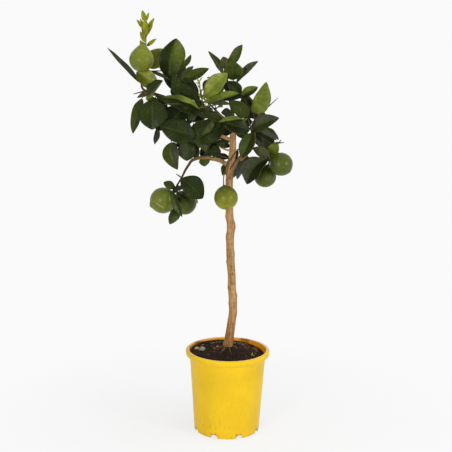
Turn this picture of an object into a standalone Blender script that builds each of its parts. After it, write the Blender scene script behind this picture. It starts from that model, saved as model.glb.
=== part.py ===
"""A young orange tree on a single bare trunk, growing in a yellow plastic nursery pot.

The frame has its origin at the centre of the pot's flat underside, with +Z up.  The tree leans
and reaches mostly to the left (-X), and its fullest side faces -Y.

Lengths are metres.  Routes and leaves are given in centimetres, measured from the origin, because
that is how a gardener would measure a tree this size; metres() turns them into scene units.
"""
import math

import bpy
import bmesh
from mathutils import Vector, noise

CENTIMETRE = 0.01
CLEARANCE = 0.0003          # between pieces that touch

# ---------------------------------------------------------------- pot and soil, in metres
POT_HEIGHT = 0.200
RIM_RADIUS = 0.100
RIM_INNER_RADIUS = 0.092
RIM_HEIGHT = 0.016
BODY_TOP_RADIUS = 0.0900
BODY_BOTTOM_RADIUS = 0.0775
CORNER_RADIUS = 0.003
WALL = 0.002
FLOOR_PLATE = 0.0025
CENTRE_DISC_RADIUS = 0.045   # the middle of the underside rests on the floor
CHANNEL_HEIGHT = 0.010       # around it the underside is raised, so that water runs out
CHANNEL_SLOPE = 0.004
POT_SIDES = 48

NOTCHES = 8                  # drainage notches through the foot ring
NOTCH_WIDTH = 0.018          # at the floor
NOTCH_TOP_WIDTH = 0.008
NOTCH_DEPTH = 0.012
DRAIN_HOLE_RADIUS = 0.004
DRAIN_HOLE_CENTRE = 0.066    # from the pot's axis

SOIL_EDGE = 0.187            # height of the soil at the pot's wall
SOIL_MOUND = 0.199           # and against the trunk
SOIL_LEAN = 0.0035           # the soil is this much higher on the left, lower on the right
SOIL_LUMP = 0.0022
TRUNK_SOCKET_FLOOR = 0.135   # how far down the trunk reaches into the soil

# ---------------------------------------------------------------- the woody plant, in cm
# Each limb: its route, its radius where it starts and where it ends, and its number of sides.
TRUNK_FOOT_RADIUS = 1.2
TRUNK = [(0, 0, 13.6), (0, 0, 20.1), (0.25, 0, 22), (0.5, 0, 24), (0.8, 0, 26.5), (1.1, 0, 29),
         (1.1, 0, 31.5), (0.8, 0.1, 35), (0.7, 0, 38), (0.4, -0.1, 41.5), (0.2, 0, 46),
         (0.3, 0.1, 50), (0, 0, 52.5), (-0.1, 0, 56), (-0.2, 0, 60.5), (0, 0, 63.5),
         (0.4, 0, 66), (0.6, 0, 68), (0.6, 0, 71), (0.6, 0, 74)]
TRUNK_RADII = [1.2, 1.2, 1.12, 1.05, 1.0, 0.95, 0.98, 0.95, 0.92, 0.96, 0.9,
               0.92, 0.9, 0.88, 0.86, 0.9, 0.76, 0.72, 0.66, 0.55]

LIMBS = {
    "left_branch": ([(0, 0, 64.3), (-2, -0.5, 65.5), (-3.5, -1, 66), (-5, -1.5, 66.5),
                     (-6.5, -2, 66.5), (-8.8, -2.5, 66.1), (-9.7, -2.6, 64.6), (-11, -3, 62.5),
                     (-12, -3.5, 60.5), (-12.5, -4, 59)], 0.55, 0.2),
    "right_branch": ([(0, 0, 63.2), (1.5, -0.3, 65.2), (3.2, -0.6, 67.2), (5, -1, 69),
                      (5.3, -1.8, 71), (5, -2.5, 73)], 0.6, 0.3),
    "fruit_twig": ([(4.7, -0.9, 68.6), (7, -1, 68.2), (8.6, -1.2, 67.2), (9.3, -1.2, 66.1)],
                   0.3, 0.18),
    "right_twig": ([(5, -2.5, 72.8), (5.5, -3, 75), (5.9, -3.2, 76.4), (6.6, -3.6, 77.4)],
                   0.3, 0.15),
    "middle_twig": ([(5.6, -3, 75.4), (4.3, -3.2, 78), (2.8, -3.2, 80.3), (1.8, -2.8, 82.6)],
                    0.22, 0.12),
    "thorn_twig": ([(5.2, -1.5, 70.3), (7.6, -0.3, 70), (10.3, -0.2, 69.6)], 0.22, 0.12),
    "front_right_twig": ([(5.1, -2.6, 72.6), (4.9, -4.4, 73.4), (4.3, -6.2, 74.6),
                          (3.6, -7.2, 76.6)], 0.22, 0.12),
    "leader": ([(0.6, 0, 73.3), (0.4, 0, 76), (0, 0, 78.5), (-0.6, 0, 81.5), (-1, 0, 84),
                (-0.8, 0, 85.4), (-0.6, -0.1, 86.6)], 0.48, 0.12),
    "long_branch": ([(0.6, 0, 73.4), (-1.5, -0.9, 75.2), (-4, -2, 76.8), (-8, -3, 77.6),
                     (-11.5, -3, 79), (-15, -2, 80.2), (-18, -1, 81), (-20, 0, 81.6),
                     (-20.5, 0.5, 83), (-19.6, 0.8, 85.5), (-19.3, 0.6, 89), (-19.5, 0, 91.3)],
                    0.5, 0.15),
    "upper_left_twig": ([(-9, -3, 78), (-10.6, -1.8, 80), (-12, -0.8, 82), (-13.2, 0, 83.8),
                         (-14, 0.8, 85)], 0.25, 0.12),
    "front_twig": ([(-4, -2, 76.8), (-5.4, -4.8, 77.6), (-6.2, -6.6, 78.8), (-6.6, -7.2, 80.6),
                    (-6.8, -7, 82.6)], 0.22, 0.1),
    "front_left_twig": ([(-14.6, -2.1, 80), (-15.8, -3.8, 80.5), (-16.5, -5.2, 81)], 0.2, 0.12),
    "low_front_twig": ([(0.6, 0, 72.2), (-2, -2, 74), (-5, -3.2, 75), (-8.6, -4.4, 75)],
                       0.25, 0.12),
    "low_left_twig": ([(0.5, 0, 70), (-3, 0.4, 70.8), (-7, -0.6, 71.4), (-10.5, -1.4, 71.6),
                       (-13.4, -1.8, 71.8), (-15.6, -1.2, 73)], 0.35, 0.12),
    "back_left_twig": ([(0.6, 0, 72.6), (-2, 4, 75), (-5, 7.5, 77.5), (-8, 9.5, 80)], 0.35, 0.12),
    "back_right_twig": ([(0.6, 0, 71.4), (3, 4, 73.5), (5.4, 7, 75.8), (6.4, 8.5, 78)],
                        0.35, 0.12),
    "back_high_twig": ([(0, 0, 79), (-1.6, 3.4, 82), (-3.4, 5.8, 84)], 0.22, 0.12),
    "back_low_twig": ([(-3, 0.4, 70.7), (-4, 4, 70.4), (-6, 7, 69.6)], 0.22, 0.12),
}
LIMB_SIDES = 8
TRUNK_SIDES = 14

THORNS = [((-11.4, -3.1, 61.9), (-12.8, -3.2, 62.7)), ((-19.8, -0.1, 81.5), (-22.5, -0.4, 81)),
          ((6.3, -3.5, 77.1), (10.4, -4.2, 81)), ((10, -0.1, 69.6), (12, -0.4, 70))]
THORN_RADIUS = 0.11

# Each orange: its centre, its radius, the way from its centre to its stalk, how far its neck is
# drawn out towards the stalk, and the point of the limbs that its stalk grows from.
ORANGES = {
    "orange_top_left": ((-20.3, -3, 88.6), 2.8, (0.15, 0.25, 1), 0.5, (-19.4, 0.2, 90.8)),
    "orange_by_trunk": ((-0.9, -6.5, 58.1), 2.7, (-0.05, 0.2, 1), 0.1, (-1.4, -0.4, 65.1)),
    "orange_lower_left": ((-15.6, -4.4, 56.9), 3.1, (0.8, 0.25, 0.5), 0.1, (-12.5, -4, 59.1)),
    "orange_lower_back": ((-10.2, -1, 55.8), 2.9, (-0.5, -0.15, 0.85), 0.1, (-12.1, -3.6, 60.3)),
    "orange_lower_right": ((8.2, 0.4, 62.1), 2.6, (0.25, -0.1, 1), 0.15, (9.2, -1.2, 66.2)),
    "orange_right": ((11.9, -2.5, 65.4), 2.6, (-0.75, 0.3, 0.6), 0.1, (9.2, -1.2, 66.3)),
}
STALK_RADIUS = 0.13
CALYX_RADIUS = 0.4
CALYX_LENGTH = 0.22
ORANGE_SIDES = 16
ORANGE_RINGS = 10

# Each leaf: where its blade starts, its tip, its width, the way its upper side looks, and how far
# its midrib bows to that side.
LEAVES = {
    "long_branch": [
        ((-20.9, 0.1, 82.7), (-28, -1, 91.5), 2.2, (0.7, -0.35, 0.6), -0.1),
        ((-21, -1.3, 84.4), (-16, -2.8, 82.7), 3.8, (-0.2, -1, 0.5), 0.3),
        ((-19.2, -3.6, 80.4), (-15.3, -6.2, 84), 2.5, (-0.5, -0.6, 0.6), 0.2),
        ((-20.5, -1.2, 79.8), (-22.4, -3, 72.1), 3.4, (-0.7, -0.8, 0.2), 0.2),
        ((-10.6, -3.8, 78), (-14.8, -5.2, 73.6), 5.4, (0.1, -1, 0.3), 0.3),
        ((-19.1, 1.6, 86.2), (-13.9, 2, 90.6), 4, (0.1, -1, 0.2), 0.2),
    ],
    "front_left_twig": [((-16.8, -6, 80.1), (-18.2, -8, 73.6), 6.8, (0, -1, 0.35), 0.4)],
    "upper_left_twig": [
        ((-13.9, -0.2, 84.2), (-12.4, -1, 93.5), 5.4, (0.25, -1, 0.1), 0.4),
        ((-12.6, 0.7, 84.9), (-9, 1.2, 89.6), 2.2, (0.7, -0.6, -0.3), 0.2),
        ((-12.1, -0.7, 83.7), (-4.9, -2, 86.9), 3.4, (-0.1, -0.8, 0.6), 0.1),
    ],
    "front_twig": [
        ((-6.2, -7.8, 81.4), (-1, -9, 86.5), 4.6, (-0.35, -1, 0.45), 0.4),
        ((-5.9, -8, 80.2), (1.4, -11, 82.2), 3.2, (0, -0.65, 0.75), 0.5),
        ((-7.2, -6.8, 78.4), (-15, -8.4, 81), 2.6, (0.2, -0.45, 0.9), 0.6),
    ],
    "low_front_twig": [
        ((-5.6, -4, 74.8), (-9, -4.8, 71), 3.6, (0, -1, 0.3), 0.3),
        ((-9.3, -5.6, 74.4), (-15.6, -7.6, 71.2), 5.2, (-0.1, -0.9, 0.5), 0.2),
        ((-2.4, -2.9, 73.6), (-6, -4.6, 70), 2.6, (0.3, -0.9, 0.3), 0.3),
    ],
    "front_right_twig": [
        ((3.2, -8, 77.2), (-1, -10, 80.5), 3.6, (-0.2, -1, 0.1), 0.3),
        ((3.2, -7.8, 76), (-2.7, -10.2, 75.8), 1.8, (0, -0.2, 1), 0.8),
        ((3.8, -6.8, 73.7), (-1.7, -8.2, 75.2), 3.4, (0, -0.85, 0.5), 0.3),
    ],
    "middle_twig": [
        ((2.4, -4.1, 80.5), (6, -4.8, 83.5), 3, (-0.5, -0.6, 0.6), 0.2),
        ((2, -4.6, 81.4), (-1, -5.6, 84.4), 3, (0, -1, 0.2), 0.2),
        ((0.6, -3.2, 83.7), (-0.3, -4.2, 89), 4.6, (0, -1, 0.3), 0.3),
        ((1.9, -2.4, 83.8), (6, -2.5, 88.7), 2, (-0.5, -0.6, 0.7), 0.1),
    ],
    "leader": [
        ((-1.6, 0.5, 85.8), (-5, -0.6, 90.6), 2.4, (0.5, -0.6, 0.4), 0.2),
        ((-0.1, -0.6, 86.4), (2, -1, 92), 3.2, (-0.4, -0.9, 0.2), 0.3),
    ],
    "right_twig": [
        ((6.6, -4.2, 77.5), (7.4, -5, 84), 4.8, (-0.1, -1, 0.2), 0.3),
        ((5.9, -4, 73.8), (10.8, -5.5, 76.2), 3.8, (0.1, -0.8, 0.6), 0.3),
    ],
    "right_branch": [
        ((4.5, -3.3, 72.1), (2.2, -3.8, 66.6), 2.8, (-0.3, -0.9, 0.3), 0.3),
        ((6, -2.7, 72), (10.6, -3.8, 69.6), 3.8, (0.3, -0.6, 0.75), 0.4),
        ((6.1, -1, 71.6), (11, 0.8, 70.6), 2.6, (0.3, -0.5, 0.8), 0.3),
    ],
    "fruit_twig": [
        ((6.2, -1.9, 68.6), (9.5, -3.8, 66.6), 3.4, (0.2, 0.8, 0.5), 0.2),
        ((8.4, -2.6, 65.6), (4, -4.6, 61), 4.8, (-0.3, -0.8, 0.6), 0.9),
    ],
    "left_branch": [
        ((-10.8, -3.8, 61.8), (-6.5, -4.6, 57.6), 5.4, (0.1, -1, 0.4), 0.3),
        ((-12.5, -4.2, 60.7), (-15.2, -4.8, 61), 2.4, (-0.1, -0.6, 0.8), 0.2),
        ((-13, -7.2, 59.4), (-10.7, -9.8, 54), 3.2, (-0.5, -0.8, 0.3), 0.2),
        ((-12.9, 1.9, 57.6), (-13.9, 0.6, 50.6), 2.6, (0, -1, 0.2), 0.2),
    ],
    "low_left_twig": [
        ((-13.6, -3, 70.4), (-12.8, -4.6, 64), 4.4, (-0.2, -1, 0.2), 0.3),
        ((-10.4, -2.4, 70.6), (-9.6, -3, 66), 4.6, (0.1, -1, 0.2), 0.2),
        ((-16.1, -1.4, 72.2), (-17.1, -1.6, 69.3), 1.8, (0.3, -1, 0.1), 0.1),
        ((-4.6, 0.8, 70), (-6.8, 0.7, 65.8), 2.8, (0, -1, 0.2), 0.2),
    ],
    "back_left_twig": [
        ((-8.8, 10, 80.2), (-13, 13, 83.4), 4.4, (-0.1, 0.7, 0.7), 0.3),
        ((-8.9, 9, 80.4), (-14.4, 8.4, 81.4), 4, (0, 0.4, 1), 0.3),
        ((-5.4, 8.6, 77), (-7.6, 12.8, 73), 4.2, (0, 1, 0.4), 0.3),
    ],
    "back_right_twig": [
        ((6.4, 9.2, 78.6), (8, 12.6, 80.8), 3.8, (0.2, 0.7, 0.6), 0.3),
        ((5.6, 9.3, 78), (2.4, 13, 77.8), 3.6, (0, 0.8, 0.6), 0.3),
        ((6.2, 7, 75.4), (9.6, 10, 72.4), 4, (0.5, 0.8, 0.4), 0.3),
    ],
    "back_high_twig": [
        ((-4, 6.6, 84), (-7.4, 9.6, 83.6), 3.8, (0, 0.7, 0.6), 0.3),
        ((-3, 6.8, 83.8), (0.6, 10.2, 85.4), 3.8, (0.2, 0.7, 0.7), 0.3),
    ],
    "back_low_twig": [
        ((-6.8, 7.6, 69.2), (-9.4, 10.4, 65.6), 4, (-0.3, 0.9, 0.4), 0.3),
        ((-5.4, 7.9, 69), (-3, 11.4, 66), 3.8, (0.3, 1, 0.3), 0.3),
    ],
}
LEAF_STATIONS = [0.0, 0.1, 0.26, 0.45, 0.64, 0.82, 0.94, 1.0]
LEAF_THICKNESS = 0.09
LEAF_FOLD = 0.16             # how far the blade's halves rise beside its midrib
PETIOLE_HALF_WIDTH = 0.09
TIP_HALF_WIDTH = 0.05

# The soft yellow-green shoot at the very top: its stem, and its leaflets with base, tip and width.
SHOOT_STEM = [(-19.5, -0.05, 91.35), (-19.4, -0.1, 93.5), (-19.6, 0, 95.4), (-19.9, 0, 97)]
SHOOT_STEM_RADIUS = 0.13
SHOOT_BOW = 0.12
SHOOT_LEAFLETS = [
    ((-19.8, 0, 96.6), (-20.5, -0.2, 99.4), 1.0), ((-19.7, 0, 96.4), (-18.9, 0.3, 99), 0.6),
    ((-19.7, 0, 95.6), (-21.8, 0.2, 97.6), 0.7), ((-19.7, 0, 96.2), (-20.9, -0.6, 98), 0.5),
    ((-19.6, 0, 95.5), (-17.8, 0.2, 97.8), 0.8), ((-19.5, 0, 94.9), (-18, -0.5, 96.4), 0.7),
    ((-19.5, 0, 94.4), (-20.3, -0.7, 97), 0.8), ((-19.4, -0.1, 93.4), (-21, -0.3, 95), 0.9),
    ((-19.4, -0.1, 92.2), (-17.3, -0.3, 94), 0.9), ((-19.5, -0.1, 92), (-20.6, -0.4, 93.3), 0.7),
]

COLOURS = {
    "pot": (0.80, 0.56, 0.02, 0.38), "soil": (0.03, 0.018, 0.012, 0.95),
    "tree_wood": (0.42, 0.22, 0.10, 0.8), "orange": (0.13, 0.24, 0.015, 0.35),
    "leaf": (0.03, 0.085, 0.015, 0.42), "young_shoot": (0.42, 0.52, 0.05, 0.45),
}


def metres(point):
    return Vector(point) * CENTIMETRE


def material(name):
    """A Principled material in the named colour, made once and then shared."""
    found = bpy.data.materials.get(name)
    if found:
        return found
    made = bpy.data.materials.new(name)
    made.use_nodes = True
    shader = made.node_tree.nodes["Principled BSDF"]
    red, green, blue, roughness = COLOURS[name]
    shader.inputs["Base Color"].default_value = (red, green, blue, 1)
    shader.inputs["Roughness"].default_value = roughness
    shader.inputs["Metallic"].default_value = 0
    return made


def add_object(name, mesh, finish, collection=None):
    """Give the bmesh an object of its own, faces pointing out."""
    bmesh.ops.recalc_face_normals(mesh, faces=mesh.faces)
    data = bpy.data.meshes.new(name)
    mesh.to_mesh(data)
    mesh.free()
    data.shade_smooth()
    data.set_sharp_from_angle(angle=math.radians(40))
    data.materials.append(material(finish))
    made = bpy.data.objects.new(name, data)
    (collection or bpy.context.scene.collection).objects.link(made)
    return made


def guide(made):
    """A cutter or a union's operand: shown as wire and left out of the part."""
    made.hide_render = True
    made.display_type = "WIRE"
    return made


def boolean(target, operand, operation):
    change = target.modifiers.new(operation.title(), "BOOLEAN")
    change.operation = operation
    change.solver = "EXACT"
    if isinstance(operand, bpy.types.Collection):
        change.operand_type = "COLLECTION"
        change.collection = operand
    else:
        change.object = operand


def turned(profile, sides, closed):
    """Turn (radius, height) points about Z.  An open profile starts and ends on the axis."""
    mesh = bmesh.new()
    rings = []
    for radius, height in profile:
        if radius == 0:
            rings.append([mesh.verts.new((0, 0, height))])
            continue
        rings.append([mesh.verts.new((radius * math.cos(step * math.tau / sides),
                                      radius * math.sin(step * math.tau / sides), height))
                      for step in range(sides)])
    pairs = list(zip(rings, rings[1:]))
    if closed:
        pairs.append((rings[-1], rings[0]))
    for lower, upper in pairs:
        for step in range(sides):
            after = (step + 1) % sides
            corners = [lower[step % len(lower)], lower[after % len(lower)],
                       upper[after % len(upper)], upper[step % len(upper)]]
            mesh.faces.new(list(dict.fromkeys(corners)))
    return mesh


def loft(mesh, rings):
    """Skin a row of equal rings of points and cap both ends."""
    made = [[mesh.verts.new(point) for point in ring] for ring in rings]
    sides = len(made[0])
    for lower, upper in zip(made, made[1:]):
        for step in range(sides):
            after = (step + 1) % sides
            mesh.faces.new((lower[step], lower[after], upper[after], upper[step]))
    mesh.faces.new(made[0][::-1])
    mesh.faces.new(made[-1])


def tube(route, radii, sides):
    """A round limb along a route, both in metres; each ring leans halfway between its runs."""
    mesh = bmesh.new()
    rings = []
    across = Vector((0, 1, 0))
    for index, point in enumerate(route):
        before = route[max(index - 1, 0)]
        after = route[min(index + 1, len(route) - 1)]
        along = (after - before).normalized()
        across = (across - along * across.dot(along)).normalized()
        other = along.cross(across)
        rings.append([point + radii[index] * (math.cos(turn) * across + math.sin(turn) * other)
                      for turn in (step * math.tau / sides for step in range(sides))])
    loft(mesh, rings)
    return mesh


# ---------------------------------------------------------------- pot
def pot_wall_radius(height):
    """Outer radius of the plain body at a height."""
    share = height / (POT_HEIGHT - RIM_HEIGHT)
    return BODY_BOTTOM_RADIUS + share * (BODY_TOP_RADIUS - BODY_BOTTOM_RADIUS)


def build_pot():
    rim_foot = POT_HEIGHT - RIM_HEIGHT
    channel_outer = pot_wall_radius(CHANNEL_HEIGHT) - WALL
    plate_top = CHANNEL_HEIGHT + FLOOR_PLATE
    profile = [
        (RIM_INNER_RADIUS, POT_HEIGHT - 0.001), (RIM_INNER_RADIUS + 0.002, POT_HEIGHT),
        (RIM_RADIUS - 0.003, POT_HEIGHT - 0.0012), (RIM_RADIUS, POT_HEIGHT - 0.005),
        (RIM_RADIUS - 0.0004, POT_HEIGHT - 0.0105), (RIM_RADIUS - 0.003, rim_foot + 0.002),
        (BODY_TOP_RADIUS + 0.0018, rim_foot), (BODY_TOP_RADIUS, rim_foot - 0.003),
        (pot_wall_radius(0.1), 0.1),
        (pot_wall_radius(CORNER_RADIUS), CORNER_RADIUS), (BODY_BOTTOM_RADIUS - 0.001, 0),
        (BODY_BOTTOM_RADIUS - WALL - 0.001, 0), (channel_outer, CHANNEL_HEIGHT),
        (CENTRE_DISC_RADIUS + CHANNEL_SLOPE, CHANNEL_HEIGHT), (CENTRE_DISC_RADIUS, 0),
    ]
    underside_centre = [(0, 0)]
    inside = [
        (0, FLOOR_PLATE), (CENTRE_DISC_RADIUS - CHANNEL_SLOPE / 2, FLOOR_PLATE),
        (CENTRE_DISC_RADIUS + CHANNEL_SLOPE / 2, plate_top),
        (pot_wall_radius(plate_top) - WALL, plate_top),
        (pot_wall_radius(0.1) - WALL, 0.1), (BODY_TOP_RADIUS - WALL, rim_foot - 0.003),
        (RIM_INNER_RADIUS - 0.001, POT_HEIGHT - 0.006),
    ]
    outside_down = profile + underside_centre
    mesh = turned(inside + outside_down, POT_SIDES, closed=False)
    pot = add_object("pot", mesh, "pot")
    for index in range(NOTCHES):
        heading = math.tau * (index + 0.5) / NOTCHES
        boolean(pot, notch_cutter(index, heading), "DIFFERENCE")
        boolean(pot, drain_cutter(index, heading), "DIFFERENCE")
    return pot


def notch_cutter(index, heading):
    """A wedge that opens the foot ring from the floor up to the raised channel."""
    mesh = bmesh.new()
    below = -0.002
    slope = (NOTCH_WIDTH - NOTCH_TOP_WIDTH) / 2 / CHANNEL_HEIGHT
    low = NOTCH_WIDTH / 2 - slope * below
    high = NOTCH_TOP_WIDTH / 2
    section = [(-low, below), (low, below), (high, CHANNEL_HEIGHT - CLEARANCE),
               (-high, CHANNEL_HEIGHT - CLEARANCE)]
    inner = BODY_BOTTOM_RADIUS - NOTCH_DEPTH
    outer = BODY_BOTTOM_RADIUS + NOTCH_DEPTH
    loft(mesh, [[Vector((reach, side, height)) for side, height in section]
                for reach in (inner, outer)])
    cutter = guide(add_object(f"notch_cutter_{index}", mesh, "pot"))
    cutter.rotation_euler.z = heading
    return cutter


def drain_cutter(index, heading):
    mesh = bmesh.new()
    bmesh.ops.create_cone(mesh, cap_ends=True, segments=10, radius1=DRAIN_HOLE_RADIUS,
                          radius2=DRAIN_HOLE_RADIUS, depth=4 * FLOOR_PLATE)
    cutter = guide(add_object(f"drain_cutter_{index}", mesh, "pot"))
    cutter.location = (DRAIN_HOLE_CENTRE * math.cos(heading),
                       DRAIN_HOLE_CENTRE * math.sin(heading), CHANNEL_HEIGHT + FLOOR_PLATE / 2)
    return cutter


# ---------------------------------------------------------------- soil
def build_soil():
    """The potting soil: it fills the pot to just under the rim and is moulded by its floor."""
    plate_top = CHANNEL_HEIGHT + FLOOR_PLATE + CLEARANCE
    rim_foot = POT_HEIGHT - RIM_HEIGHT
    socket = TRUNK_FOOT_RADIUS * CENTIMETRE + CLEARANCE
    inset = WALL + CLEARANCE
    wall_at_edge = BODY_TOP_RADIUS - inset + (SOIL_EDGE - rim_foot) * 0.15
    surface = [
        (wall_at_edge, SOIL_EDGE), (0.083, SOIL_EDGE + 0.0015), (0.074, SOIL_EDGE + 0.003),
        (0.062, SOIL_EDGE + 0.0045), (0.048, SOIL_EDGE + 0.007), (0.032, SOIL_MOUND - 0.003),
        (0.020, SOIL_MOUND - 0.001), (socket, SOIL_MOUND),
    ]
    profile = [
        (0, FLOOR_PLATE + CLEARANCE),
        (CENTRE_DISC_RADIUS - CHANNEL_SLOPE / 2 - 2 * CLEARANCE, FLOOR_PLATE + CLEARANCE),
        (CENTRE_DISC_RADIUS + CHANNEL_SLOPE / 2 - CLEARANCE, plate_top),
        (pot_wall_radius(plate_top) - inset, plate_top),
        (pot_wall_radius(0.1) - inset, 0.1), (BODY_TOP_RADIUS - inset, rim_foot - 0.003),
    ] + surface + [(socket, TRUNK_SOCKET_FLOOR), (0, TRUNK_SOCKET_FLOOR)]
    mesh = turned(profile, POT_SIDES, closed=False)
    for vertex in mesh.verts:
        reach = Vector(vertex.co.xy).length
        if vertex.co.z > SOIL_EDGE - 0.0001 and reach < wall_at_edge - 0.001:
            lump = noise.noise(vertex.co * 90) + 0.5 * noise.noise(vertex.co * 210)
            vertex.co.z += SOIL_LUMP * lump * min(1, reach / 0.03)
            vertex.co.z -= SOIL_LEAN * vertex.co.x / wall_at_edge
    return add_object("soil", mesh, "soil")


# ---------------------------------------------------------------- wood
def limb_route(name):
    points = [metres(point) for point in LIMBS[name][0]]
    first, last = LIMBS[name][1:]
    steps = len(points) - 1
    radii = [(first + (last - first) * step / steps) * CENTIMETRE for step in range(steps + 1)]
    return points, radii


def orange_pole(name):
    """Where the fruit's skin meets its stalk, and the unit vector from the centre to there."""
    centre, radius, towards_stalk, neck, _ = ORANGES[name]
    up = Vector(towards_stalk).normalized()
    return metres(centre) + up * (radius + neck) * CENTIMETRE, up


def build_wood():
    """Trunk, branches, twigs, thorns and fruit stalks grew as one piece, so they are one solid."""
    trunk = tube([metres(point) for point in TRUNK],
                 [radius * CENTIMETRE for radius in TRUNK_RADII], TRUNK_SIDES)
    wood = add_object("tree_wood", trunk, "tree_wood")
    limbs = bpy.data.collections.new("limbs")
    bpy.context.scene.collection.children.link(limbs)
    for name in LIMBS:
        points, radii = limb_route(name)
        guide(add_object(name, tube(points, radii, LIMB_SIDES), "tree_wood", limbs))
    for index, (root, tip) in enumerate(THORNS):
        route = [metres(root), metres(root).lerp(metres(tip), 0.6), metres(tip)]
        radii = [THORN_RADIUS * CENTIMETRE * share for share in (1, 0.7, 0.25)]
        guide(add_object(f"thorn_{index}", tube(route, radii, 6), "tree_wood", limbs))
    for name in ORANGES:
        guide(add_object(f"{name}_stalk", stalk(name), "tree_wood", limbs))
    boolean(wood, limbs, "UNION")
    return wood


def stalk(name):
    """A fruit's stalk, ending in the small flared calyx that sits on the fruit."""
    pole, up = orange_pole(name)
    root = metres(ORANGES[name][4])
    calyx_top = pole + up * (CALYX_LENGTH * CENTIMETRE + CLEARANCE)
    bend = calyx_top.lerp(root, 0.45) + up * (calyx_top - root).length * 0.12
    route = [root, bend, calyx_top, pole + up * CLEARANCE]
    thin = STALK_RADIUS * CENTIMETRE
    return tube(route, [thin, thin, thin, CALYX_RADIUS * CENTIMETRE], LIMB_SIDES)


# ---------------------------------------------------------------- fruit
def build_orange(name):
    """A round fruit with a slight neck at the stalk and a blunt nipple at the far end."""
    centre, radius, _, neck, _ = ORANGES[name]
    _, up = orange_pole(name)
    profile = []
    for ring in range(ORANGE_RINGS + 1):
        turn = math.pi * ring / ORANGE_RINGS - math.pi / 2
        height = radius * math.sin(turn)
        if ring == ORANGE_RINGS:
            height += neck
        elif ring == ORANGE_RINGS - 1:
            height += neck * 0.7
        elif ring == 0:
            height -= radius * 0.04
        reach = 0 if ring in (0, ORANGE_RINGS) else radius * math.cos(turn)
        profile.append((reach * CENTIMETRE, height * CENTIMETRE))
    fruit = add_object(name, turned(profile, ORANGE_SIDES, closed=False), "orange")
    fruit.location = metres(centre)
    fruit.rotation_euler = up.to_track_quat("Z", "X").to_euler()
    return fruit


# ---------------------------------------------------------------- leaves
def blade_half_width(share, width):
    """A citrus leaf: rounded at its base, widest just below the middle, pointed at its tip."""
    return max(width / 2 * math.sin(math.pi * share ** 0.85) ** 0.85, TIP_HALF_WIDTH)


def leaf_ring(point, along, faces, half_width, rise):
    """Four points of a leaf's cross-section: left edge, upper midrib, right edge, underside."""
    side = along.cross(faces).normalized()
    up = side.cross(along).normalized()
    half = LEAF_THICKNESS / 2
    ring = [point - side * half_width + up * rise, point + up * half,
            point + side * half_width + up * rise, point - up * half]
    return [corner * CENTIMETRE for corner in ring]


def nearest_on_limb(name, point):
    """The closest point of a limb's axis, in cm, with the limb's radius there."""
    points, radii = limb_route(name)
    best = None
    for start, end, first, last in zip(points, points[1:], radii, radii[1:]):
        run = end - start
        share = min(1, max(0, (point * CENTIMETRE - start).dot(run) / run.length_squared))
        spot = start + run * share
        found = ((spot / CENTIMETRE - point).length, spot / CENTIMETRE,
                 (first + (last - first) * share) / CENTIMETRE)
        if best is None or found[0] < best[0]:
            best = found
    return best[1], best[2]


def leaf_mesh(base, tip, width, faces, bow, root):
    """A thin closed leaf, and its petiole from the blade back to root (all in cm)."""
    mesh = bmesh.new()
    along = (tip - base).normalized()
    up = (faces - along * faces.dot(along)).normalized()
    length = (tip - base).length
    rings = []
    if (base - root).length > 0.3:
        toward = (base - root).normalized()
        for share in (0, 0.6):
            rings.append(leaf_ring(root.lerp(base, share), toward, up, PETIOLE_HALF_WIDTH, 0))
    for share in LEAF_STATIONS:
        half_width = PETIOLE_HALF_WIDTH if share == 0 else blade_half_width(share, width)
        lift = bow * 4 * share * (1 - share)
        slope = bow / length * 4 * (1 - 2 * share)
        rise = LEAF_FOLD * half_width if 0 < share < 1 else 0
        rings.append(leaf_ring(base + along * length * share + up * lift,
                               (along + up * slope).normalized(), up, half_width, rise))
    loft(mesh, rings)
    return mesh


def build_leaves(limb):
    for number, (base, tip, width, faces, bow) in enumerate(LEAVES[limb], start=1):
        base, tip, faces = Vector(base), Vector(tip), Vector(faces)
        spot, radius = nearest_on_limb(limb, base)
        outward = (base - spot).normalized()
        root = spot + outward * (radius + CLEARANCE / CENTIMETRE)
        mesh = leaf_mesh(base, tip, width, faces, bow, root)
        add_object(f"leaf_{limb}_{number}", mesh, "leaf")


def build_shoot():
    """The newest growth at the top of the long branch: a soft stem and its leaflets."""
    stem = tube([metres(point) for point in SHOOT_STEM],
                [SHOOT_STEM_RADIUS * CENTIMETRE * share for share in (1, 1, 0.8, 0.5)], 6)
    shoot = add_object("young_shoot", stem, "young_shoot")
    leaflets = bpy.data.collections.new("leaflets")
    bpy.context.scene.collection.children.link(leaflets)
    for index, (base, tip, width) in enumerate(SHOOT_LEAFLETS):
        base, tip = Vector(base), Vector(tip)
        mesh = leaf_mesh(base, tip, width, Vector((0, -1, 0.2)), SHOOT_BOW, base)
        guide(add_object(f"leaflet_{index}", mesh, "young_shoot", leaflets))
    boolean(shoot, leaflets, "UNION")
    return shoot


def main():
    for old in list(bpy.data.objects):
        bpy.data.objects.remove(old, do_unlink=True)
    build_pot()
    build_soil()
    build_wood()
    for name in ORANGES:
        build_orange(name)
    for limb in LEAVES:
        build_leaves(limb)
    build_shoot()


main()
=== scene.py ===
"""The looks of a young orange tree in a yellow nursery pot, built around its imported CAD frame.

Routes and leaves are given in centimetres from the centre of the pot's underside, as a gardener
would measure them; metres() turns them into scene units.  Everything rides on the one CAD body.
"""
import math
import random

import bmesh
import bpy
from mathutils import Matrix, Vector, noise


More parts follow.
